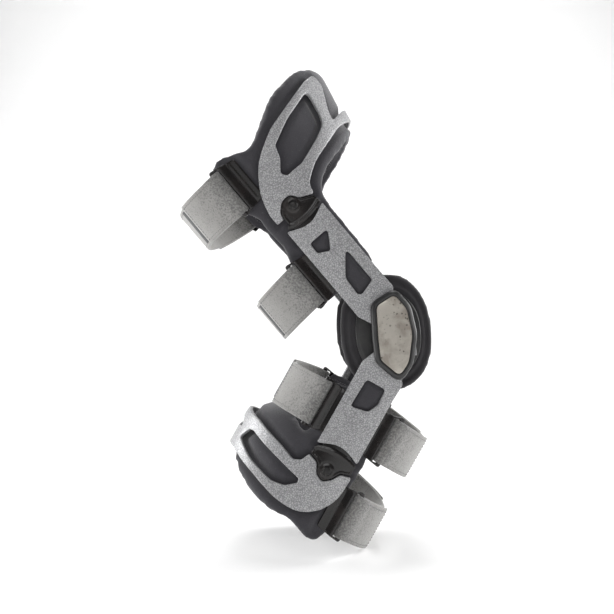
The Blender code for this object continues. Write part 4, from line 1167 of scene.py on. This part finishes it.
def head_outline(size, phase):
    """Toothed arc from the back of the head round to its front, as (forward, t) points."""
    pitch_radius, teeth, head = size.pivot_spacing / 2.0, 16, 12.5
    module = size.pivot_spacing / teeth
    base = pitch_radius * math.cos(math.radians(20.0))
    root, tip = pitch_radius - 1.25 * module, pitch_radius + 0.8 * module
    pitch = 2.0 * math.pi / teeth

    def involute(radius):
        a = math.acos(min(1.0, base / radius))
        return math.tan(a) - a

    def flank(radius):
        half = pitch / 4.0 - 0.3 / (2.0 * pitch_radius)
        return half + involute(pitch_radius) - involute(max(radius, base))

    beyond, most_turn = 34.0, 37.5      # degrees of teeth past the line, and of each joint's turn
    first, last = math.radians(-beyond), math.radians(most_turn + beyond)
    polar = [(head, math.radians(-80)), (head, math.radians(-58)), (head, first - 0.10),
             (root, first)]
    k = math.ceil((first + 0.2) / pitch - phase)
    radii = (root, base + 0.1, pitch_radius, tip)
    while (k + phase) * pitch + 0.2 < last:
        middle = (k + phase) * pitch
        polar += [(radius, middle - flank(radius)) for radius in radii]
        polar += [(radius, middle + flank(radius)) for radius in radii[::-1]]
        k += 1
    polar += [(root, last), (head, last + 0.10)]
    polar += [(head, last + 0.10 + (math.radians(90) - last - 0.10) * k / 2) for k in (1, 2)]
    return np.array([(-r * math.sin(a), -r * math.cos(a)) for r, a in reversed(polar)])


class BRACE_OT_uprights(bpy.types.Operator):
    """Powder-coated uprights with their toothed heads"""

    bl_idname = "brace.uprights"
    bl_label = "Uprights"

    def execute(self, context):
        size = Sizes(context.scene)
        w = size.upright_half_width
        for body, segment, pattern, end in sections(size):
            corners = [(w, 26, 6), (w, end, 1.5), (0, end - 9, 60), (-w, end, 1.5), (-w, 26, 6),
                       (-13, 8, 2), (-12.5, 1, 0)]
            phase = 0.0 if body == "thigh" else 0.5
            outline = np.concatenate([rounded(corners)[:-1], head_outline(size, phase),
                                      [(13.0, 8.0)]])
            if body == "calf":
                outline = outline * np.array([-1.0, 1.0])
            holes = [rounded(window) for window in pattern["windows"]] + [circle(PIVOT_HOLE)]
            pair(body + "_upright", "bar", body, "frame_coat", "frame_coat",
                 lambda side: plate(outline, holes, 3.2, segment.on(side), level(0.0),
                                    level(-size.frame_wall), TOOTH_EDGE, 2))
        return {"FINISHED"}


class BRACE_OT_links(bpy.types.Operator):
    """Black links between each upright's end and its cuff"""

    bl_idname = "brace.links"
    bl_label = "Links"

    def execute(self, context):
        size = Sizes(context.scene)
        for body, segment, pattern, end in sections(size):
            outline = rounded(pattern["link"], 10.0)
            rivet = np.array(pattern["rivet"])
            holes = [circle(RIVET_HOLE, pattern["rivet"], 24)]

            def top(points):
                """Proud face with a bead beside the upright, an inset line and a ringed boss."""
                border = distance(points, outline)
                past = points[:, 1] - (end - 2.4 + 4.6 * (points[:, 0] / 20.0) ** 2)
                apart = np.linalg.norm(points - rivet, axis=1)
                bead = 1.3 * ridge(past, 2.0, 0.85)
                line = 0.45 * ridge(border, 2.6, 0.45) * ramp(past, 3.5, 5)
                boss = 0.7 * ramp(apart, 6.4, 5.2) - 0.3 * ridge(apart, 6.8, 0.5)
                dish = 0.35 * ramp(border, 0.5, 5.0)
                return PROUD + bead - line + boss - dish

            def shell(side):
                """The plug between upright and cuff, and the flange that lies under both."""
                place = segment.on(side)
                plug = plate(outline, holes, 1.1, place, top, level(size.tongue_top + 0.02),
                             0.5)
                flange = plate(rounded(pattern["flange"]), holes, 3.0, place,
                               level(size.tongue_top), level(size.tongue_top - size.tongue_wall),
                               0.4, 2)
                return joined([plug, flange])

            pair(body + "_link", "body", body, "black_plastic", "black_plastic", shell)
        return {"FINISHED"}


class BRACE_OT_rivets(bpy.types.Operator):
    """Rivets that hold the links to the cuffs"""

    bl_idname = "brace.rivets"
    bl_label = "Link rivets"

    def execute(self, context):
        size = Sizes(context.scene)
        for body, segment, pattern, _ in sections(size):
            points, axes = [], []
            for _, side in SIDES:
                spot = np.array([pattern["rivet"]])
                high = segment.place(spot, np.array([1.9]), side)[0]
                low = segment.place(spot, np.array([0.0]), side)[0]
                points.append(high)
                axes.append((high - low) / np.linalg.norm(high - low))
            name = body + "_link_rivets"
            mesh = bpy.data.meshes.new(name)
            mesh.from_pydata((np.array(points) * MM).tolist(), [], [])
            axis = mesh.attributes.new("axis", "FLOAT_VECTOR", "POINT")
            axis.data.foreach_set("vector", np.array(axes, np.float32).ravel())
            obj = bpy.data.objects.new(name, mesh)
            context.scene.collection.objects.link(obj)
            grow(obj, tree_named("rivets", rivet_tree), material=finish("blackened_steel"))
            piece(obj, body, "rivet_steel",
                  *("%s_link_rivet_%s" % (body, where) for where, _ in SIDES))
        return {"FINISHED"}


class BRACE_OT_hook_strips(bpy.types.Operator):
    """Fabric-faced strips that show in the uprights' windows"""

    bl_idname = "brace.hook_strips"
    bl_label = "Hook strips"

    def execute(self, context):
        size = Sizes(context.scene)
        w = size.upright_half_width - 6.5
        for body, segment, pattern, end in sections(size):
            corners = [(-w, 32, 4), (w, 32, 4), (w, end - 14, 4), (-w, end - 14, 4)]
            windows = [rounded(window) for window in pattern["windows"]]

            def top(points):
                """Bulges into each window, soft at the window's edge."""
                rise = np.zeros(len(points))
                for window in windows:
                    within = inside(points, window) * distance(points, window)
                    rise += 2.3 * ramp(within, 0.4, 4.5)
                return size.tongue_top - size.fit_gap + rise

            pair(body + "_hook_strip", "face", body, "liner_knit", "liner_foam",
                 lambda side: plate(rounded(corners), [], 1.6, segment.on(side), top,
                                    level(size.tongue_top - size.tongue_wall), 0.4, 2))
        return {"FINISHED"}


class BRACE_OT_liners(bpy.types.Operator):
    """Soft liners of the thigh and the calf, with a seam round their leg side"""

    bl_idname = "brace.liners"
    bl_label = "Liners"

    def execute(self, context):
        size = Sizes(context.scene)
        for body, segment, pattern, end in sections(size):
            outline = oriented(whole_loops(segment, pattern["liner"])[0], 6.0, True)
            outline = outline - inward(outline) * size.liner_growth
            bottom = size.liner_top - size.liner_wall
            shell = plate(outline, [], 5.0, segment.place_whole, level(size.liner_top - 0.7),
                          level(bottom + 0.7), 3.2)
            obj = mesh_object(body + "_liner_pad", *shell, "liner_knit")
            inflate(obj, voxel=3.2, cap=1.2, smooth=16)
            self.puff(obj, size, segment, pattern, end)
            eased(obj, 5)
            settle(obj)
            obj.data.shade_smooth()
            seam = self.press_seam(obj, segment, outline, bottom)
            piece(obj, body, "liner_foam", body + "_liner")
            stitched(body + "_liner_seam", [seam], body, "liner_foam", closed=True)
        return {"FINISHED"}

    @staticmethod
    def puff(obj, size, segment, pattern, end):
        """Let the outer face rise where no frame or plastic holds it down."""
        spots = coordinates(obj)
        flat, offset, way = segment.read(spots)
        whole = np.stack([flat[:, 0] - segment.quarter(flat[:, 1]), flat[:, 1]], 1)
        outline, *holes = whole_loops(segment, pattern["cuff"])
        window = mirrored_hole(segment, pattern["cuff_window"])[0]
        whole[:, 0] = -np.abs(whole[:, 0])
        held = inside(whole, outline)
        for hole in [*holes, window]:
            held &= ~inside(whole, hole)
        free = np.where(held, 0.0, distance(whole, outline, window, *holes))
        w = size.upright_half_width
        strips = [oblong(-w, w, 0.0, end), rounded(pattern["flange"])]
        for strap in straps(size):
            if strap.segment is segment:
                near, far, sign = strap.bar - 23.0, strap.bar + 3.0, strap.sign
                strips += [oblong(sign * near, sign * far, strap.low - 4.0, strap.high + 4.0),
                           oblong(sign * near, sign * 200.0, strap.low, strap.high)]
        for strip in strips:
            free = np.minimum(free, np.where(inside(flat, strip), 0.0, distance(flat, strip)))
        face = ramp(offset, size.liner_top - 5.0, size.liner_top - 1.5)
        height, start, full = 2.9, 0.6, 7.5     # of the bulge, and over what distance it rises
        rise = height * ramp(free, start, full) * face
        move_to(obj, spots + way * rise[:, None])

    @staticmethod
    def press_seam(obj, segment, outline, bottom):
        """Press a groove round the leg side, and give the line that its stitches follow."""
        loop = oriented(outline, 3.0, True)
        inset, reach = 8.0, 3.4
        flat = loop + inward(loop) * inset
        deep = segment.place_whole(flat, np.full(len(flat), bottom - 2.0))
        spots = coordinates(obj)
        tree = BVHTree.FromPolygons([Vector(p) for p in spots],
                                    [tuple(p.vertices) for p in obj.data.polygons])
        line = [tree.find_nearest(Vector(point))[:2] for point in deep]
        lookup = KDTree(len(line))
        for i, (found, _) in enumerate(line):
            lookup.insert(found, i)
        lookup.balance()
        normals = np.array([v.normal for v in obj.data.vertices])
        for i, spot in enumerate(spots):
            _, _, far = lookup.find(Vector(spot))
            if far < reach:
                spots[i] -= normals[i] * 0.9 * (1.0 - (far / reach) ** 2) ** 2
        move_to(obj, spots)
        return [found - normal * 0.55 for found, normal in line]


class BRACE_OT_brackets(bpy.types.Operator):
    """Plastic tongues that the straps turn round"""

    bl_idname = "brace.brackets"
    bl_label = "Brackets"

    def execute(self, context):
        size = Sizes(context.scene)
        for strap in straps(size):
            outer = strap.bar + size.bar_width / 2.0
            slot = strap.bar - size.bar_width / 2.0 - size.slot_width
            low, high = strap.low - 4.0, strap.high + 4.0
            inner, foot, head = slot - 16.0, slot - 8.0, slot - 1.5
            near, far = strap.low - size.run_gap, strap.high + size.run_gap
            corners = [(inner, low + 5, 3), (outer, low, 3), (outer, high, 3),
                       (inner, high - 5, 3)]
            opening = [(slot, near, 1), (slot + size.slot_width, near, 1),
                       (slot + size.slot_width, far, 1), (slot, far, 1)]
            flip = rounded([(strap.sign * u, t, r) for u, t, r in corners])
            hole = rounded([(strap.sign * u, t, r) for u, t, r in opening])

            def raised(points):
                return size.tongue_top + size.lift * ramp(np.abs(points[:, 0]), foot, head)

            def top(points):
                """Rounded bar, and two ribs along the foot of the step."""
                u = np.abs(points[:, 0])
                share = np.clip(np.abs(u - strap.bar) / (size.bar_width / 2.0), 0.0, 1.0)
                bar = 0.55 * np.sqrt(1.0 - share ** 2)
                ends = ramp(points[:, 1], low + 4, low + 8) * ramp(points[:, 1], high - 4,
                                                                   high - 8)
                rib = 0.7 * ridge(u, foot - 1.2, 0.7) * ends
                lip = 0.5 * ridge(u, head - 0.2, 0.8)
                return raised(points) + bar + rib + lip

            pair(strap.name + "_bracket", "tongue", strap.body, "black_plastic", "black_plastic",
                 lambda side: plate(flip, [hole], 1.5, strap.segment.on(side), top,
                                    lambda points: raised(points) - size.tongue_wall, 0.6))
        return {"FINISHED"}


FOLD_POINTS, TURN_POINTS, LOOP_POINTS = 27, 13, 56   # along the folded end, bar and leg
STITCH_INSET = 3.2


def strap_course(size, strap, t):
    """Centre line of a strap at width station t: its folded end, the turn, and round the leg.

    Gives (forward, out) points, their slant shifts, and their distances past the bar.
    """
    segment, sign = strap.segment, strap.sign
    lift = size.tongue_top - size.tongue_wall / 2.0 + size.lift
    gap = size.tongue_wall / 2.0 + size.run_gap + size.strap_wall / 2.0
    close = size.strap_wall / 2.0 + 0.55        # half the space where the layers lie together
    turn_inset = 1.2                            # the turn's centre, in from the bar's edge
    bar = float(segment.angle(sign * (strap.bar - size.bar_width / 2.0 + turn_inset), t))
    middle = float(segment.angle(sign * strap.bar, t))
    tail = float(segment.angle(sign * (strap.bar + size.strap_tail), t))
    reach = size.strap_tail

    def apart(past):
        """Half the space between the two layers, which lie together beyond the bar."""
        shut = ramp(past, 3.0, 15.0) * (1.0 - ramp(past, reach + 1.0, reach + 22.0))
        return gap + (close - gap) * shut

    share = np.linspace(0.0, 1.0, FOLD_POINTS)
    past = reach * (1.0 - share)
    out_angle = tail + (middle - tail) * share
    outside = np.stack(segment.section(out_angle, t, lift + apart(past)), 1)
    base = np.array(segment.section(bar, t, lift)).ravel()
    ahead = np.array(segment.section(bar + sign * 0.02, t, lift)).ravel()
    run = (ahead - base) / np.linalg.norm(ahead - base)
    out = np.array(segment.section(bar, t, lift + 1.0)).ravel() - base
    turn = np.linspace(0.0, math.pi, TURN_POINTS)[:, None]
    bend = base + out * (gap * np.cos(turn)) - run * (gap * np.sin(turn))
    in_share = np.linspace(0.0, 1.0, LOOP_POINTS)
    in_angle = middle + (sign * math.pi / 2.0 - middle) * in_share
    in_past = (in_angle - middle) / (tail - middle) * reach
    inner = np.stack(segment.section(in_angle, t, lift - apart(in_past)), 1)
    line = np.concatenate([outside, bend, inner])
    angles = np.concatenate([out_angle, np.full(TURN_POINTS, bar), in_angle])
    shift = strap.shift(angles, middle)
    pasts = np.concatenate([past, np.zeros(TURN_POINTS), in_past])
    return line, shift, pasts


class BRACE_OT_straps(bpy.types.Operator):
    """Loop-faced straps folded round their bars, with hook ends and stitching"""

    bl_idname = "brace.straps"
    bl_label = "Straps"

    def execute(self, context):
        size = Sizes(context.scene)
        width, half = size.strap_width, size.strap_wall / 2.0
        stations = [0.0, 0.35, 1.0, 2.0, STITCH_INSET, 6.0, 9.5, 13.0, 17.0]
        stations = np.array(stations + [width / 2.0] + [width - s for s in stations[::-1]])
        edge = np.minimum(stations, width - stations)
        bulk = half * (0.42 + 0.58 * np.sqrt(1.0 - (1.0 - np.clip(edge / 1.8, 0, 1)) ** 2))
        bulk = bulk - 0.16 * ridge(edge, STITCH_INSET, 0.8)
        for strap in straps(size):
            faces_a, faces_b = [], []
            for station, thick in zip(stations, bulk):
                t = strap.low + station
                line, shift, past = strap_course(size, strap, t)
                ahead = np.concatenate([line[1:], line[-1:] * np.array([1.0, -1.0])])
                back = np.concatenate([line[:1], line[:-1]])
                flow = ahead - back
                flow /= np.linalg.norm(flow, axis=1)[:, None]
                normal = np.stack([-flow[:, 1], flow[:, 0]], 1)
                end = 1.0 - 0.45 * ramp(np.arange(len(line)), 2.0, 0.0)
                step = normal * (thick * end)[:, None]
                a, b = line + step, line - step
                rows = [strap.segment.world(p[:, 0], p[:, 1], t + shift, -1.0)
                        for p in (a, b)]
                for row in rows:
                    row[-1, 1] = 0.0
                far = [row[:-1][::-1] * np.array([1.0, -1.0, 1.0]) for row in rows]
                faces_a.append(np.concatenate([rows[0], far[0]]))
                faces_b.append(np.concatenate([rows[1], far[1]]))
            past = np.concatenate([past, past[:-1][::-1]])
            self.add_band(size, strap, np.array(faces_a), np.array(faces_b), past)
            self.add_stitches(strap, stations, np.array(faces_a), np.array(faces_b), past)
            self.add_hooks(size, strap)
        return {"FINISHED"}

    @staticmethod
    def add_band(size, strap, over, under, past):
        rows, columns = over.shape[:2]
        count = rows * columns
        verts = np.concatenate([over.reshape(-1, 3), under.reshape(-1, 3)])

        def at(row, column, low=False):
            return row * columns + column + (count if low else 0)

        faces = []
        for r in range(rows - 1):
            for c in range(columns - 1):
                faces.append((at(r, c), at(r, c + 1), at(r + 1, c + 1), at(r + 1, c)))
                faces.append((at(r, c, True), at(r + 1, c, True), at(r + 1, c + 1, True),
                              at(r, c + 1, True)))
            for c in (0, columns - 1):
                faces.append((at(r, c), at(r + 1, c), at(r + 1, c, True), at(r, c, True)))
        for r in (0, rows - 1):
            for c in range(columns - 1):
                faces.append((at(r, c), at(r, c + 1), at(r, c + 1, True), at(r, c, True)))
        obj = mesh_object(strap.name + "_strap_band", verts, faces, "strap_webbing")
        # weight of the painted shade of the fold, and of the extra dark pile, fading with distance
        # past the bar
        dark = np.exp(-np.maximum(past, 0.0) / 24.0)
        dark = np.tile(dark, rows * 2).astype(np.float32)
        obj.data.attributes.new("near_bar", "FLOAT", "POINT").data.foreach_set("value", dark)
        piece(obj, strap.body, "strap_webbing", strap.name + "_strap")

    @staticmethod
    def add_stitches(strap, stations, over, under, past):
        """Rows along both edges of the visible faces, and one across each folded end."""
        edge = np.minimum(stations, stations[-1] - stations)
        inset = np.flatnonzero(np.abs(edge - STITCH_INSET) < 0.1)
        rows = slice(inset[0], inset[1] + 1)
        last, seam = len(past) - 1, FOLD_POINTS - 3
        lines = []
        for run, across in ((slice(1, seam), 2), (slice(last + 1 - seam, last), last - 2)):
            lines += [raise_line(over[row, run], under[row, run], strap) for row in inset]
            lines.append(raise_line(over[rows, across], under[rows, across], strap))
        loop = FOLD_POINTS + TURN_POINTS
        first = loop + int(np.searchsorted(past[loop:len(past) // 2], 60.0))
        run = slice(first, len(past) - first)
        lines += [raise_line(over[row, run], under[row, run], strap) for row in inset]
        stitched(strap.name + "_strap_stitches", lines, strap.body, "strap_webbing")

    @staticmethod
    def add_hooks(size, strap):
        """The dark hook tape that shows at each folded end."""
        lift = size.tongue_top - size.tongue_wall / 2.0 + size.lift
        parts = []
        begin, end = size.strap_tail - 9.0, size.strap_tail + 10.5
        low, high = strap.low + 3.0, strap.high - 3.4
        corners = [(begin, low, 1), (end, low, 1.2), (end, high, 1.2), (begin, high, 1)]
        outline = rounded([(strap.sign * (strap.bar + u), t, r) for u, t, r in corners])

        def placed(points, offset, side):
            angle = strap.segment.angle(points[:, 0], points[:, 1])
            middle = strap.segment.angle(np.full(len(points), strap.sign * strap.bar),
                                         points[:, 1])
            shift = strap.shift(angle, middle)
            forward, out = strap.segment.section(angle, points[:, 1], offset)
            return strap.segment.world(forward, out, points[:, 1] + shift, side)

        for _, side in SIDES:
            parts.append(plate(outline, [], 2.5, lambda p, o, s=side: placed(p, o, s),
                               level(lift + 0.7), level(lift - 0.5), 0.3, 2))
        obj = mesh_object(strap.name + "_strap_hooks", *joined(parts), "hook_tape")
        piece(obj, strap.body, "strap_webbing")


def raise_line(face, other, strap):
    """The line of a strap's face that looks away from the leg, just proud of it."""
    rel = face - other
    centre = (face + other) / 2.0
    pivot = np.array([strap.segment.pivot[0], 0.0, strap.segment.pivot[1]])
    along = np.array([strap.segment.along[0], 0.0, strap.segment.along[1]])
    arm = centre - pivot
    arm = arm - (arm @ along)[:, None] * along
    outward = np.sign((rel * arm).sum(1))
    unit = rel / np.linalg.norm(rel, axis=1)[:, None]
    return centre + rel / 2.0 * outward[:, None] + unit * outward[:, None] * 0.12


def at_side(size, loop, out, side):
    """A flat loop of the hinge's own frame, out from the middle plane."""
    spots = [on_hinge(size, x, z) for x, z in loop]
    return np.array([(x, side * out, z) for x, z in spots])


def face_rings(size, profile, side):
    """The face plate's outline grown by each margin, out from the uprights' face."""
    return [at_side(size, rounded(grown(FACE_PLATE, margin), 7.0), size.knee_half_width + out,
                    side) for margin, out in profile]


class BRACE_OT_hinges(bpy.types.Operator):
    """Hinge caps and nickel face plates"""

    bl_idname = "brace.hinges"
    bl_label = "Hinge caps"

    def execute(self, context):
        size = Sizes(context.scene)
        # (margin past the face plate's outline, distance out from the uprights' face)
        cap = ((2.3, 4.5), (2.3, 0.35), (5.0, 0.35), (5.0, 2.6), (4.85, 3.9), (4.45, 5.0),
               (3.9, 5.75), (3.3, 6.25), (2.7, 6.55), (2.3, 6.9), (1.95, 7.15), (1.6, 7.2),
               (1.2, 7.1), (0.95, 6.8), (0.75, 6.75), (0.5, 6.8), (0.3, 6.7), (0.3, 6.1))
        face = ((-0.3, 6.4), (0.0, 6.5), (0.0, 6.95), (-0.2, 7.15), (-0.6, 7.3), (-1.4, 7.4))
        # (share of the face's last outline, distance out)
        crown = ((0.78, 7.55), (0.5, 7.68), (0.2, 7.75), (0.02, 7.76))
        last = rounded(grown(FACE_PLATE, face[-1][0]), 7.0)
        middle = last.mean(0)
        for where, side in SIDES:
            body = where + "_hinge"
            rings = face_rings(size, cap, side)
            obj = mesh_object("hinge_cap_%s_shell" % where, *lofted(rings), "hinge_plastic")
            piece(obj, body, "hinge_plastic", "hinge_cap_" + where)
            rings = face_rings(size, face, side)
            rings += [at_side(size, middle + (last - middle) * share,
                              size.knee_half_width + out, side) for share, out in crown]
            obj = mesh_object("hinge_face_plate_%s_skin" % where, *lofted(rings), "aged_nickel")
            piece(obj, body, "aged_nickel", "hinge_face_plate_" + where)
        return {"FINISHED"}


PAD_SEAM = 0.795        # share of the pad's oval at which it is sewn


class BRACE_OT_condyle_pads(bpy.types.Operator):
    """Soft oval pads beside the knee, and the cups that carry them"""

    bl_idname = "brace.condyle_pads"
    bl_label = "Condyle pads"

    def execute(self, context):
        size = Sizes(context.scene)
        wide, long, wall = size.pad_half_width, size.pad_half_length, size.pad_wall
        centre, top = (-7.5, 3.0), 60.2     # of the pad: on the hinge's frame, and out to its face
        cup_wide, cup_long, cup_centre = 29.0, 37.0, (-6.0, 2.0)
        # (share of the oval, depth from the hinge's side), then (share, distance out) of the cup
        profile = ((0.04, 1.2), (0.45, 1.2), (0.80, 1.1), (0.90, 1.6), (0.965, 3.4), (0.985, 6.0),
                   (0.96, 8.7), (0.89, 10.4), (0.78, 10.9), (0.45, 11.0), (0.04, 11.0))
        cup = ((0.03, 64.2), (0.62, 64.2), (0.70, 64.4), (0.86, 64.5), (0.90, 64.3),
               (0.93, 63.6), (0.96, 63.5), (0.985, 63.2), (1.0, 62.4), (1.0, 60.9),
               (0.97, 60.5), (0.03, 60.5))
        for where, side in SIDES:
            body = where + "_hinge"
            rings = [at_side(size, oval(wide * share, long * share, centre), top - depth, side)
                     for share, depth in profile]
            obj = mesh_object("condyle_pad_%s_cushion" % where, *lofted(rings), "condyle_suede")
            inflate(obj, voxel=3.0, cap=0.9, smooth=10)
            self.emboss(obj, size, centre, side, top, wall)
            piece(obj, body, "condyle_foam", "condyle_pad_" + where)
            rings = [at_side(size, oval(cup_wide * share, cup_long * share, cup_centre), out, side)
                     for share, out in cup]
            obj = mesh_object("condyle_cup_%s_dish" % where, *lofted(rings), "hinge_plastic")
            piece(obj, body, "hinge_plastic", "condyle_cup_" + where)
            seam = at_side(size, oval(wide * PAD_SEAM, long * PAD_SEAM, centre, 160),
                           top - wall + 1.05, side)
            stitched("condyle_pad_%s_seam" % where, [seam], body, "condyle_foam", closed=True)
        return {"FINISHED"}

    @staticmethod
    def emboss(obj, size, centre, side, top, wall):
        """A raised ring and a valley on the hinge's side, and a sewn valley on the knee's."""
        spots = coordinates(obj)
        c, s = math.cos(size.hinge_tilt), math.sin(size.hinge_tilt)
        x = spots[:, 0] * c + spots[:, 2] * s - centre[0]
        z = -spots[:, 0] * s + spots[:, 2] * c - centre[1]
        share = (np.abs(x / size.pad_half_width) ** OVAL_POWER
                 + np.abs(z / size.pad_half_length) ** OVAL_POWER) ** (1.0 / OVAL_POWER)
        out = spots[:, 1] * side
        hinge_side = ramp(out, top - wall * 0.55, top - wall * 0.3)
        rolled = (ridge(share, 0.755, 0.018) - 1.7 * ridge(share, 0.83, 0.03)
                  + ridge(share, 0.91, 0.05))
        sewn = 1.5 * ridge(share, PAD_SEAM, 0.022) - 1.2 * ramp(share, 0.75, 0.1)
        spots[:, 1] += side * (hinge_side * rolled + (1.0 - hinge_side) * sewn)
        move_to(obj, spots)


class BRACE_OT_hardware(bpy.types.Operator):
    """Steel finish of the pieces inside the hinges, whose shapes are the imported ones"""

    bl_idname = "brace.hardware"
    bl_label = "Hinge hardware"

    def execute(self, context):
        names = ("hinge_outer_plate_", "hinge_inner_plate_", "hinge_upper_rivet_",
                 "hinge_lower_rivet_", "extension_stop_", "flexion_stop_")
        for stem in names:
            for where, _ in SIDES:
                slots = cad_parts[stem + where].material_slots
                if not slots:
                    raise RuntimeError("%s has no material slot" % (stem + where))
                slots[0].material = finish("dulled_steel")
        return {"FINISHED"}


class BRACE_PT_pieces(bpy.types.Panel):
    """The brace's pieces in the order that they are made"""

    bl_idname = "BRACE_PT_pieces"
    bl_label = "Knee brace"
    bl_space_type = "VIEW_3D"
    bl_region_type = "UI"
    bl_category = "Brace"

    def draw(self, context):
        for step in STEPS:
            self.layout.operator(step.bl_idname)
        for group in (context.scene.brace_sizes, context.scene.brace_colours,
                      context.scene.brace_stage):
            box = self.layout.box()
            for key in group.bl_rna.properties.keys():
                if key not in ("rna_type", "name"):
                    box.prop(group, key)


STEPS = (BRACE_OT_stage, BRACE_OT_cuffs, BRACE_OT_uprights, BRACE_OT_links, BRACE_OT_rivets,
         BRACE_OT_hook_strips, BRACE_OT_brackets, BRACE_OT_straps, BRACE_OT_hinges,
         BRACE_OT_hardware, BRACE_OT_condyle_pads, BRACE_OT_liners)
GROUPS = (("brace_sizes", BraceSizes), ("brace_colours", BraceColours),
          ("brace_stage", BraceStage))


def register():
    for _, group in GROUPS:
        bpy.utils.register_class(group)
    for name, group in GROUPS:
        setattr(bpy.types.Scene, name, PointerProperty(type=group))
    for step in (*STEPS, BRACE_PT_pieces):
        bpy.utils.register_class(step)


def unregister():
    for step in (BRACE_PT_pieces, *STEPS[::-1]):
        bpy.utils.unregister_class(step)
    for name, group in GROUPS[::-1]:
        delattr(bpy.types.Scene, name)
        bpy.utils.unregister_class(group)


def main():
    """Build every piece in order."""
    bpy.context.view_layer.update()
    register()
    for step in STEPS:
        group, name = step.bl_idname.split(".")
        getattr(getattr(bpy.ops, group), name)()


if __name__ == "__main__":
    main()
